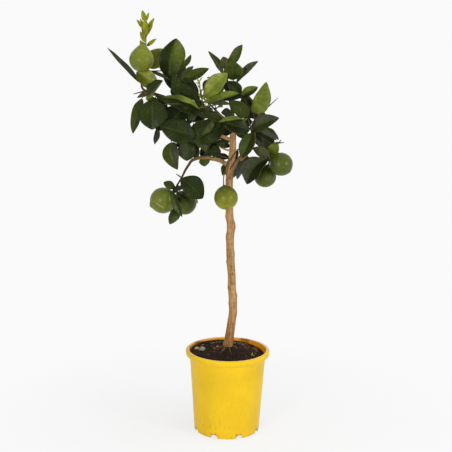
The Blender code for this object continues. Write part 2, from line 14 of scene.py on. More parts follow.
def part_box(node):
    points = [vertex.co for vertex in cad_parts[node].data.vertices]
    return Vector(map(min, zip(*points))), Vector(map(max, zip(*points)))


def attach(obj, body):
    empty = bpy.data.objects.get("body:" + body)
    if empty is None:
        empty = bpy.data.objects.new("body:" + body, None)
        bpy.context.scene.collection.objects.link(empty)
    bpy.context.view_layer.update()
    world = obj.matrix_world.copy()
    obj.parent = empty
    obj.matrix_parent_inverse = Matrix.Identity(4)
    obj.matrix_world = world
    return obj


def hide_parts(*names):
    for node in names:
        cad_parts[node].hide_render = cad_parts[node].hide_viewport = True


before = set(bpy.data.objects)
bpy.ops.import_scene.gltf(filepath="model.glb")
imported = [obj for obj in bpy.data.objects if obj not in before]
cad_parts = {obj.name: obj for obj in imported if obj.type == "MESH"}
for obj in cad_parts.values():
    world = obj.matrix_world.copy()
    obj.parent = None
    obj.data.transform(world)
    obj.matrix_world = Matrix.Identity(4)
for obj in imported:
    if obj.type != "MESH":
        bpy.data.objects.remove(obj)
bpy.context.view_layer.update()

CENTIMETRE = 0.01
BODY = "root"
CLEARANCE = 0.03             # in cm, between pieces that touch
HAIR = 1e-6                  # in metres: nearer than this counts as the same height

# -------- colours (linear)
# Leaf tones are partly painted light and shade: "deep" paints the shade inside the crown, "dark" is
# partly shade, and "grey" and "slate" are partly a paler underside and partly a painted sheen.
TONES = {
    "deep": (0.010, 0.015, 0.001), "dark": (0.018, 0.029, 0.002),
    "sap": (0.034, 0.050, 0.003), "green": (0.050, 0.070, 0.004),
    "fresh": (0.100, 0.130, 0.006), "light": (0.165, 0.205, 0.022),
    "bright": (0.285, 0.310, 0.052), "young": (0.300, 0.310, 0.016),
    "grey": (0.055, 0.060, 0.030), "olive": (0.100, 0.085, 0.038), "slate": (0.080, 0.080, 0.088),
}
UNDERSIDE = (0.075, 0.085, 0.032)
# Pale specks on the leaves: partly dust, partly a painted sheen.
DUST_AND_SHEEN = (0.150, 0.150, 0.080)
VEIN = (0.120, 0.145, 0.030)
STEM_TONE = (0.22, 0.25, 0.03)
BARK = (0.500, 0.305, 0.125)
TWIG = (0.085, 0.062, 0.022)
GREEN_RADIUS = 0.0032        # in metres: up to here wood has the tone of a twig
BARK_GROWTH = 0.0030         # how much thicker it is when it has the tone of bark
GRAIN_STRETCH = 0.12         # lower draws the bark's streaks out longer along a limb
STALK_TONE = (0.230, 0.170, 0.055)
FRUIT_TONES = {"dark": (0.044, 0.064, 0.003), "green": (0.080, 0.102, 0.005),
               "lime": (0.165, 0.190, 0.012), "yellow": (0.270, 0.262, 0.010)}
SCAR_TONE = (0.560, 0.400, 0.170)
SIDE_VEINS = 9.0             # along each half of a leaf
VEIN_SLANT = 2.4             # how far they lean towards its tip
UPRIGHT_GRAIN = (1, 1, 0.3)

# -------- pot and soil, in metres
POT_HEIGHT = round(max(corner[2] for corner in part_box("pot")), 4)
RIM_RADIUS = 0.100
RIM_INNER_RADIUS = 0.092
RIM_FOOT = POT_HEIGHT - 0.016
BODY_RADIUS = 0.0900         # at the rim's foot
FOOT_RADIUS = 0.0775
WALL = 0.002
FLOOR_PLATE = 0.0025
CENTRE_DISC_RADIUS = 0.045
CHANNEL_HEIGHT = 0.010
CHANNEL_SLOPE = 0.004
POT_SIDES = 144
NOTCHES = 8
NOTCH_WIDTH = 0.018
NOTCH_TOP_WIDTH = 0.008
NOTCH_DEPTH = 0.012
DRAIN_HOLE_RADIUS = 0.004
DRAIN_HOLE_CENTRE = 0.066
DRAIN_HOLE_SIDES = 24
LIP_ARC = 0.0013             # radii of the rounded edges
RIM_ARC = 0.0042
FOOT_ARC = 0.003
SHARPEST_SMOOTH = 38         # degrees: the pot's steeper edges stay sharp

SOIL_RADIUS = 0.0878
SOIL_EDGE = 0.1895
SOIL_MOUND = 0.2085
SOIL_LEAN = 0.0045
SOCKET_RADIUS = 0.0123
SOCKET_FLOOR = 0.135
SOIL_RINGS = 64
SOIL_SIDES = 180
SOIL_CLODS = ((70, 0.0022), (190, 0.0014), (520, 0.0007))    # how fine and how high each kind is
CRUMBS = 420
CRUMB_SIZES = (0.0010, 0.0014, 0.0018, 0.0026)
CRUMB_MARGIN = 0.004         # beside the trunk and the wall, where no crumb is centred
SUNK = 0.2                   # how far crumbs and stones sink in, as a share of their size
TUFT_SIZES = (0.0006, 0.0014)
ROOT_RADII = [0.0006, 0.0005, 0.0003]
ROOT_ARCH = 0.0025
SOIL_TONES = {
    "peat": (0.021, 0.011, 0.006), "crumb": (0.060, 0.032, 0.016), "bark": (0.170, 0.062, 0.028),
    "stone": (0.560, 0.520, 0.340), "pink_chip": (0.620, 0.300, 0.180),
    "moss": (0.070, 0.090, 0.012), "pale_moss": (0.380, 0.390, 0.170), "root": (0.420, 0.270, 0.110),
}
# Stones and chips, in cm: x, y, length, width, and how flat they are.
SOIL_BITS = {
    "stone": [(-7.3, 0.9, 1.5, 1.2, 1.1), (-5.9, -0.2, 1.8, 1.3, 1), (-6, 3.3, 0.7, 0.5, 1)],
    "pink_chip": [(-2.4, -0.4, 0.8, 0.6, 0.8)],
    "bark": [(-3.1, -1, 1.7, 0.8, 0.5), (3.7, 2.1, 1.4, 1.1, 0.9), (4.9, 2.6, 1.1, 0.8, 0.8),
             (4.2, 0.9, 1.2, 0.8, 0.7), (6.5, 2.4, 1.5, 1.1, 0.9), (7, 1.2, 1.0, 0.7, 0.8)],
    "peat": [(-6, 5.4, 2, 1.5, 0.6), (-4.2, 6.2, 1.9, 1.3, 0.6), (-2.6, 6.6, 1.7, 1.2, 0.5),
             (-7, 4, 1.8, 1.4, 0.5), (-5, 4.6, 1.8, 1.4, 0.5), (-1.2, 7, 1.4, 1, 0.5)],
    "pale_moss": [(-3.8, 3.8, 0.6, 0.5, 0.8), (-2.6, 5, 0.8, 0.5, 0.6), (2.4, 3.8, 0.6, 0.4, 0.8),
                  (2.8, 5.2, 0.7, 0.4, 0.8), (5.8, -1.9, 0.7, 0.4, 0.8), (6.6, -0.7, 0.8, 0.5, 0.7)],
}
# Where moss grows, in cm: x, y, spread, and how many tufts.
MOSS = [(-1.8, 5.2, 0.6, 30), (2, 5.4, 0.8, 34), (2.2, 3.4, 0.5, 16), (3.7, 5.6, 0.6, 20),
        (6.2, -1.4, 0.6, 14), (-3.4, 4.4, 0.5, 14)]
ROOT_THREADS = [((-0.9, -1.4), (-1.6, -3.6)), ((-0.5, -1.5), (-1.1, -3.2)), ((0.3, -1.6), (0.6, -3)),
                ((-1.3, -0.8), (-2.4, -2)), ((1.3, -0.4), (2.4, -1.4))]

# -------- the woody plant, in cm
TRUNK = [(0, 0, 13.6), (0, 0, 20.1), (0.25, 0, 22), (0.5, 0, 24), (0.8, 0, 26.5), (1.1, 0, 29),
         (1.1, 0, 31.5), (0.8, 0.1, 35), (0.7, 0, 38), (0.4, -0.1, 41.5), (0.2, 0, 46),
         (0.3, 0.1, 50), (0, 0, 52.5), (-0.1, 0, 56), (-0.2, 0, 60.5), (0, 0, 63.5),
         (0.3, 0, 66), (0.5, 0, 68), (0.5, 0, 71), (0.6, 0, 74)]
TRUNK_RADII = [1.2, 1.2, 1.12, 1.05, 1.0, 0.95, 0.98, 0.95, 0.92, 0.96, 0.9,
               0.92, 0.9, 0.88, 0.88, 0.95, 0.85, 0.8, 0.74, 0.6]
# Each knot: where round the trunk (radians, 3.1 in front), its height, swelling and length.
TRUNK_KNOTS = [(4.6, 49.9, 0.26, 1.1), (4.8, 43.3, 0.12, 0.7), (4.7, 33, 0.18, 0.7),
               (4.6, 29, 0.08, 0.6), (1.6, 52.3, 0.16, 0.7), (1.5, 47.4, 0.2, 0.9),
               (1.7, 41.5, 0.16, 0.4), (1.6, 35.3, 0.1, 0.5), (1.5, 31.3, 0.12, 0.7),
               (2.9, 44.5, 0.07, 0.5), (3.5, 38, 0.08, 0.5), (0.4, 30.6, 0.14, 0.6),
               (5.9, 46.2, 0.11, 0.6), (0, 37, 0.1, 0.6), (0.3, 54.5, 0.1, 0.5),
               (2.9, 24.6, 0.07, 0.5)]
KNOT_SPREAD = 0.6            # radians
TRUNK_SIDES = 32
LIMB_SIDES = 14
STALK_SIDES = 20
THORN_SIDES = 10
LIMB_SPANS = 6               # steps from one point of a route to the next

# Each limb: its route, its radius where it starts and where it ends.
LIMBS = {
    "left_branch": ([(0, 0, 64), (-2.2, -0.5, 65.5), (-3.8, -1, 66), (-5.4, -1.5, 66.3),
                     (-7, -2, 66.4), (-8.7, -2.5, 65.9), (-9.5, -2.7, 64.9), (-10.3, -3, 63.6),
                     (-11.1, -3.5, 62), (-12, -3.9, 60.5), (-12.5, -4, 59.5)], 0.56, 0.15),
    "right_branch": ([(0, 0, 63.2), (1.1, -0.3, 64.8), (2.3, -0.6, 65.9), (3.6, -1, 67.4),
                      (4.7, -1.3, 68.8), (5.3, -1.8, 70.2), (5.3, -2.5, 72), (5, -2.5, 73)],
                     0.75, 0.28),
    "fruit_twig": ([(4.7, -0.9, 68.6), (7, -1, 68.2), (8.6, -1.2, 67.2), (9.3, -1.2, 66.1)],
                   0.3, 0.18),
    "right_twig": ([(5, -2.5, 72.8), (5.5, -3, 75), (5.9, -3.2, 76.4), (6.6, -3.6, 77.4)],
                   0.3, 0.15),
    "middle_twig": ([(5.6, -3, 75.4), (4.3, -3.2, 78), (2.8, -3.2, 80.3), (1.8, -2.8, 82.6)],
                    0.22, 0.12),
    "thorn_twig": ([(5.2, -1.5, 70.3), (7.6, -0.3, 70), (10.3, -0.2, 69.6)], 0.22, 0.12),
    "front_right_twig": ([(5.1, -2.6, 72.6), (4.9, -4.4, 73.4), (4.3, -6.2, 74.6),
                          (3.6, -7.2, 76.6)], 0.22, 0.12),
    "leader": ([(0.6, 0, 73.3), (0.4, 0, 76), (0, 0, 78.5), (-0.6, 0, 81.5), (-1, 0, 84),
                (-0.8, 0, 85.4), (-0.6, -0.1, 86.6)], 0.48, 0.12),
    "long_branch": ([(0.6, 0, 73.4), (-1.5, -0.9, 75.2), (-4, -2, 76.8), (-8, -3, 77.6),
                     (-11.5, -3, 79), (-15, -2, 80.2), (-18, -1, 81), (-20, 0, 81.6),
                     (-20.5, 0.5, 83), (-19.6, 0.8, 85.5), (-19.3, 0.6, 89), (-19.5, 0, 91.3)],
                    0.5, 0.15),
    "upper_left_twig": ([(-9, -3, 78), (-10.6, -1.8, 80), (-12, -0.8, 82), (-13.2, 0, 83.8),
                         (-14, 0.8, 85)], 0.25, 0.12),
    "front_twig": ([(-4, -2, 76.8), (-5.4, -4.8, 77.6), (-6.2, -6.6, 78.8), (-6.6, -7.2, 80.6),
                    (-6.8, -7, 82.6)], 0.22, 0.1),
    "front_left_twig": ([(-14.6, -2.1, 80), (-15.8, -3.8, 80.5), (-16.5, -5.2, 81)], 0.2, 0.12),
    "low_front_twig": ([(0.6, 0, 72.2), (-2, -2, 74), (-5, -3.2, 75), (-8.6, -4.4, 75)],
                       0.25, 0.12),
    "low_left_twig": ([(0.5, 0, 70), (-3, 0.4, 70.8), (-7, -0.6, 71.4), (-10.5, -1.4, 71.6),
                       (-13.4, -1.8, 71.8), (-15.6, -1.2, 73)], 0.35, 0.12),
    "back_left_twig": ([(0.6, 0, 72.6), (-2, 4, 75), (-5, 7.5, 77.5), (-8, 9.5, 80)], 0.35, 0.12),
    "back_right_twig": ([(0.6, 0, 71.4), (3, 4, 73.5), (5.4, 7, 75.8), (6.4, 8.5, 78)],
                        0.35, 0.12),
    "back_high_twig": ([(0, 0, 79), (-1.6, 3.4, 82), (-3.4, 5.8, 84)], 0.22, 0.12),
    "back_low_twig": ([(-3, 0.4, 70.7), (-4, 4, 70.4), (-6, 7, 69.6)], 0.22, 0.12),
}
# Thin twigs and the stubs of old ones, that only the looks need.
SMALL_TWIGS = {
    "hanging_stem": ([(4.6, -1.1, 68.6), (3.5, -1.6, 68.6), (2.1, -2.2, 68.7), (1.2, -2.2, 67.9),
                      (0.1, -1.8, 66.3), (-0.7, -1.6, 65), (-1.2, -1.4, 63.3), (-1.3, -1.1, 62.3)],
                     0.16, 0.13),
    "crossing_stem": ([(2.4, -1.9, 67.2), (1.3, -1.9, 66), (0.3, -1.5, 64.5), (-0.1, -0.9, 63.6)],
                      0.15, 0.1),
    "gap_twig": ([(-2.8, -1.8, 75.8), (-3.7, -3, 76.9), (-3.2, -3.2, 78.1), (-2.5, -3.4, 78.9)],
                 0.13, 0.08),
    "fork_twig": ([(-0.3, -0.5, 66), (-1, -1, 66.4), (-2.2, -1.3, 66.7), (-2.6, -1.4, 67.1)],
                  0.16, 0.08),
    "upper_twig": ([(-19.5, 0.6, 85.5), (-18.4, -0.3, 85.85), (-16.2, -0.6, 86), (-13.6, -0.6, 86.2)],
                   0.17, 0.1),
    "bud_twig": ([(-6.6, -7.1, 79.6), (-6.5, -8, 80.4), (-6.9, -8, 81.8), (-7, -8.2, 83.3),
                  (-7.1, -8.3, 84.7)], 0.17, 0.09),
}
STUBS = {
    "old_stub": ([(0.3, 0, 70.1), (-0.9, -0.8, 70.8), (-1.8, -1.6, 71.3), (-2.6, -2.2, 71.7)],
                 0.5, 0.34),
    "joint_stub": ([(0, -0.5, 67.9), (-1.1, -1, 68.2), (-2, -1.2, 68.6), (-2.6, -1.4, 69)],
                   0.24, 0.14),
}
THORNS = [((-11.3, -3.3, 62.1), (-12.4, -3.4, 62.8)), ((-19.8, -0.1, 81.3), (-22.4, -0.4, 80.6)),
          ((5.9, -4.3, 76.4), (10.4, -4.9, 80.7)), ((10, -0.1, 69.6), (12.3, -0.4, 70)),
          ((11, -0.2, 69.8), (11.6, -0.6, 70.6))]
THORN_RADIUS = 0.15

# Each orange: its centre, its radius, the way from its centre to its stalk, its neck, the point
# that its stalk grows from, its tone at the stalk and at the far end, and its nipple.
ORANGES = {
    "top_left": ((-20.3, -3, 88.7), 2.75, (0.08, 0.1, 1), 0.8, (-19.4, 0.2, 90.8),
                 "lime", "lime", 0.0),
    "by_trunk": ((-0.9, -6.5, 58.05), 2.72, (-0.2, 0.3, 1), 0.1, (-1.3, -1.1, 62.6),
                 "dark", "yellow", 0.0),
    "lower_left": ((-15.3, -4.4, 56.8), 3, (0.9, 0.25, 0.35), 0.1, (-12.5, -4, 59.5),
                   "green", "lime", 0.34),
    "lower_back": ((-10.5, -1, 55.65), 2.8, (-0.5, -0.15, 0.85), 0.1, (-12.1, -3.9, 60.6),
                   "dark", "green", 0.0),
    "lower_right": ((8.1, 0.4, 61.9), 2.6, (0.25, -0.1, 1), 0.15, (9.2, -1.2, 66.2),
                    "green", "green", 0.0),
    "right": ((11.62, -2.5, 65.25), 2.68, (-0.75, 0.3, 0.6), 0.1, (9.2, -1.2, 66.3),
              "dark", "green", 0.1),
}
SCARRED = {"lower_left": ((-0.65, -0.75, 0.1), (-0.3, -0.93, -0.12), (0.05, -0.92, -0.38))}
STALK_RADIUS = 0.13
NECK_SPREAD = 0.44           # radians from the stalk
NIPPLE_SPREAD = 0.22         # radians from the far end
ORANGE_RINGS = 36
ORANGE_SIDES = 48
SCAR_RADII = [0.0006, 0.0011, 0.0005]
CALYX_RADIUS = 0.4
CALYX_LENGTH = 0.22
CALYX_LOBES = 5
FURROWS = 6                  # around a fruit's neck

# Each leaf: where its blade starts, its tip, its width, the way its upper side looks, how far
# its midrib bows to that side, its tone, and where they matter also how sharply its halves fold
# up, how far along it is widest, and how far its midrib sweeps sideways.
# Tones written as two halves, or as base>tip, often paint light and shade across the blade.
LEAVES = {
    "long_branch": [
        ((-20.9, 0.1, 83.2), (-28.2, -1, 91.1), 1.5, (0.5, -0.7, 0.5), -0.1, "grey", 0.3),
        ((-21.5, -1.3, 85.8), (-16.6, -2.8, 82.4), 3.8, (-0.2, -1, 0.5), 0.3, "bright/fresh", 0.4, 0.5),
        ((-18.9, -3.6, 80.2), (-15.3, -6.2, 84.4), 4.1, (-0.5, -0.6, 0.6),
         0.2, "dark/light", 0.5, 0.46, 0.6),
        ((-20.35, -1.2, 79.7), (-22.25, -3, 71.9), 3.4, (-0.7, -0.8, 0.2), 0.2, "dark/green", 0.2),
        ((-10.6, -3.8, 78), (-14.8, -5.2, 73.6), 5.4, (0.1, -1, 0.3), 0.3, "deep"),
        ((-18.9, 1.6, 86.4), (-15.3, 2, 90.7), 4.4, (0.2, -1, 0.2), 0.2, "bright", 0.16, 0.5),
    ],
    "front_left_twig": [
        ((-17.6, -6, 80.1), (-17.6, -8, 73.6), 6.6, (0, -1, 0.35), 0.4, "dark", 0.16, 0.5, 0)],
    "upper_left_twig": [
        ((-14.3, -0.2, 83.9), (-12.6, -1, 93.4), 6, (0.3, -1, 0.1),
         0.4, "deep/sap>dark/fresh", 0.4, 0.56, -0.5),
        ((-12.2, 0.7, 85.8), (-9.3, 1.2, 89.6), 1.5, (0.5, -0.8, -0.2), 0.2, "fresh/green", 0.3, 0.6),
        ((-12.4, -0.7, 83.2), (-5.1, -2, 86.8), 2.9, (-0.1, -0.8, 0.6),
         0.1, "green/dark", 0.16, 0.5, 0),
    ],
    "front_twig": [
        ((-6.1, -7.8, 80.9), (-0.9, -9, 86.5), 4.2, (-0.35, -1, 0.45),
         0.3, "bright/light", 0.2, 0.5, 0),
        ((-6.3, -8, 79.9), (1.6, -11, 82.3), 2.5, (0, -0.65, 0.75), 0.4, "light/fresh", 0.3, 0.5),
        ((-7.2, -6.8, 78.4), (-15.4, -8.4, 81), 2.3, (0.2, -0.45, 0.9), 1, "light>green", 0.2, 0.42),
    ],
    "low_front_twig": [
        ((-5.6, -4, 74.8), (-9, -4.8, 71), 3.6, (0, -1, 0.3), 0.3, "dark"),
        ((-8.1, -5.6, 72), (-16, -7.6, 74.5), 5.8, (-0.1, -0.9, 0.5), 0.2, "dark", 0.16, 0.5),
        ((-1.6, -2.9, 74.6), (-6.3, -4.6, 69.9), 3.4, (0.3, -0.9, 0.3), 0.3, "dark", 0.16, 0.5),
    ],
    "front_right_twig": [
        ((3.9, -8, 77.1), (-0.6, -10, 80.6), 3.3, (-0.2, -1, 0.1), 0.3, "sap"),
        ((3.2, -7.8, 76), (-2.7, -10.2, 75.8), 2, (0, -0.4, 1), 0.8, "light", 0.1),
        ((4.2, -6.8, 73.7), (-1.7, -8.2, 75.4), 3.9, (0, -0.85, 0.5), 0.3, "deep/dark"),
    ],
    "middle_twig": [
        ((2, -4.1, 80.4), (5.9, -4.8, 83.1), 2.2, (-0.25, -1, 0.15),
         0.2, "light/dark", 0.45, 0.55, -0.2),
        ((2, -4.6, 81.4), (-1, -5.6, 84.4), 3, (0, -1, 0.2), 0.2, "dark"),
        ((0.3, -3.2, 84.4), (0.1, -4.2, 88.9), 4.3, (0, -1, 0.3), 0.3, "green", 0.16, 0.5),
        ((1, -2.4, 83.6), (5.9, -2.5, 88.7), 1.8, (-0.3, -0.9, 0.4), 0.1, "grey", 0.3, 0.55, -0.5),
    ],
    "leader": [
        ((-2, 0.5, 85.5), (-5.4, -0.6, 90.6), 1.7, (0.4, -0.8, 0.3), 0.2, "grey/green", 0.4, 0.46, 0.1),
        ((-0.9, -0.6, 87.1), (2.3, -1, 92.2), 2.4, (-0.3, -0.9, 0.2), 0.3, "green", 0.3, 0.5, 0.3),
    ],
    "right_twig": [
        ((5.4, -4.2, 77.1), (7.8, -5, 84.3), 4.1, (0.1, -1, 0.2), 0.3, "light", 0.3, 0.36, 0.45),
        ((4.4, -4, 73.2), (10.8, -5.5, 76.3), 3.7, (0.1, -0.8, 0.6), 0.3, "grey/dark", 0.2, 0.46, -0.3),
    ],
    "right_branch": [
        ((5, -3.3, 72.5), (2.5, -3.8, 66.8), 3.4, (-0.3, -0.9, 0.3), 0.3, "dark/green", 0.3, 0.5),
        ((6.8, -2.7, 72.9), (10.4, -3.8, 70.9), 1.5, (0.3, -0.6, 0.75), 0.3, "grey"),
        ((7.6, -1, 73.3), (11.1, 0.8, 70.4), 1.9, (0.3, -0.7, 0.6), 0.3, "dark/grey"),
    ],
    "fruit_twig": [
        ((5.3, -1.7, 68.9), (9.4, -1.9, 65.6), 3.1, (0.2, 0.8, 0.5), 0.2, "olive"),
        ((8.3, -2.8, 66.5), (3.8, -4.6, 60.9), 5.6, (-0.3, -0.8, 0.6), 0.6, "deep/grey", 0.3, 0.52, 1),
    ],
    "left_branch": [
        ((-11.1, -3.8, 61.9), (-6.15, -4.8, 57.5), 5.1, (0.1, -1, 0.4), 0.3, "dark", 0.16, 0.5, -0.2),
        ((-12.5, -4.2, 59.7), (-15.2, -4.8, 61.1), 1.9, (-0.1, -1, 0.3), 0.2, "green", 0.3, 0.55),
        ((-13.1, -7.2, 59.4), (-10.7, -9, 54), 1.9, (-0.5, -0.8, 0.3), 0.2, "dark/green", 0.4),
        ((-11.7, 1.9, 55), (-14, 0.6, 50.1), 2.5, (0, -1, 0.2), 0.2, "green", 0.2, 0.55),
    ],
    "low_left_twig": [
        ((-13.6, -3, 70), (-12, -4.6, 64), 3.8, (-0.2, -1, 0.2), 0.3, "grey/green", 0.3, 0.38, 0.6),
        ((-10, -2.4, 70.4), (-10, -3, 65.8), 4.5, (0.1, -1, 0.2), 0.2, "dark/grey", 0.16, 0.5),
        ((-16.6, -1.4, 73.2), (-17.4, -1.6, 69.3), 1.4, (0.3, -1, 0.1), 0.1, "grey", 0.2),
        ((-4.6, 0.8, 70), (-6.8, 0.7, 65.8), 2.8, (0, -1, 0.2), 0.2, "deep"),
    ],
    "back_left_twig": [
        ((-8.8, 10, 80.2), (-13, 13, 83.4), 4.4, (-0.1, 0.7, 0.7), 0.3, "green"),
        ((-8.9, 9, 80.4), (-14.4, 8.4, 81.4), 4, (0, 0.4, 1), 0.3, "dark"),
        ((-5.4, 8.6, 77), (-7.6, 12.8, 73), 4.2, (0, 1, 0.4), 0.3, "dark"),
    ],
    "back_right_twig": [
        ((6.4, 9.2, 78.6), (8, 12.6, 80.8), 3.8, (0.2, 0.7, 0.6), 0.3, "green"),
        ((5.6, 9.3, 78), (2.4, 13, 77.8), 3.6, (0, 0.8, 0.6), 0.3, "dark"),
        ((6.2, 7, 75.4), (9.6, 10, 72.4), 4, (0.5, 0.8, 0.4), 0.3, "dark"),
    ],
    "back_high_twig": [
        ((-3.6, 6.4, 83), (-6.6, 9.4, 80.6), 3.2, (0, 0.7, 0.6), 0.3, "green"),
        ((-3, 6.8, 83.8), (0.6, 10.2, 85.4), 3.8, (0.2, 0.7, 0.7), 0.3, "green"),
    ],
    "back_low_twig": [
        ((-6.8, 7.6, 69.2), (-9.4, 10.4, 65.6), 4, (-0.3, 0.9, 0.4), 0.3, "dark"),
        ((-5.4, 7.9, 69), (-3, 11.4, 66), 3.8, (0.3, 1, 0.3), 0.3, "dark"),
    ],
}
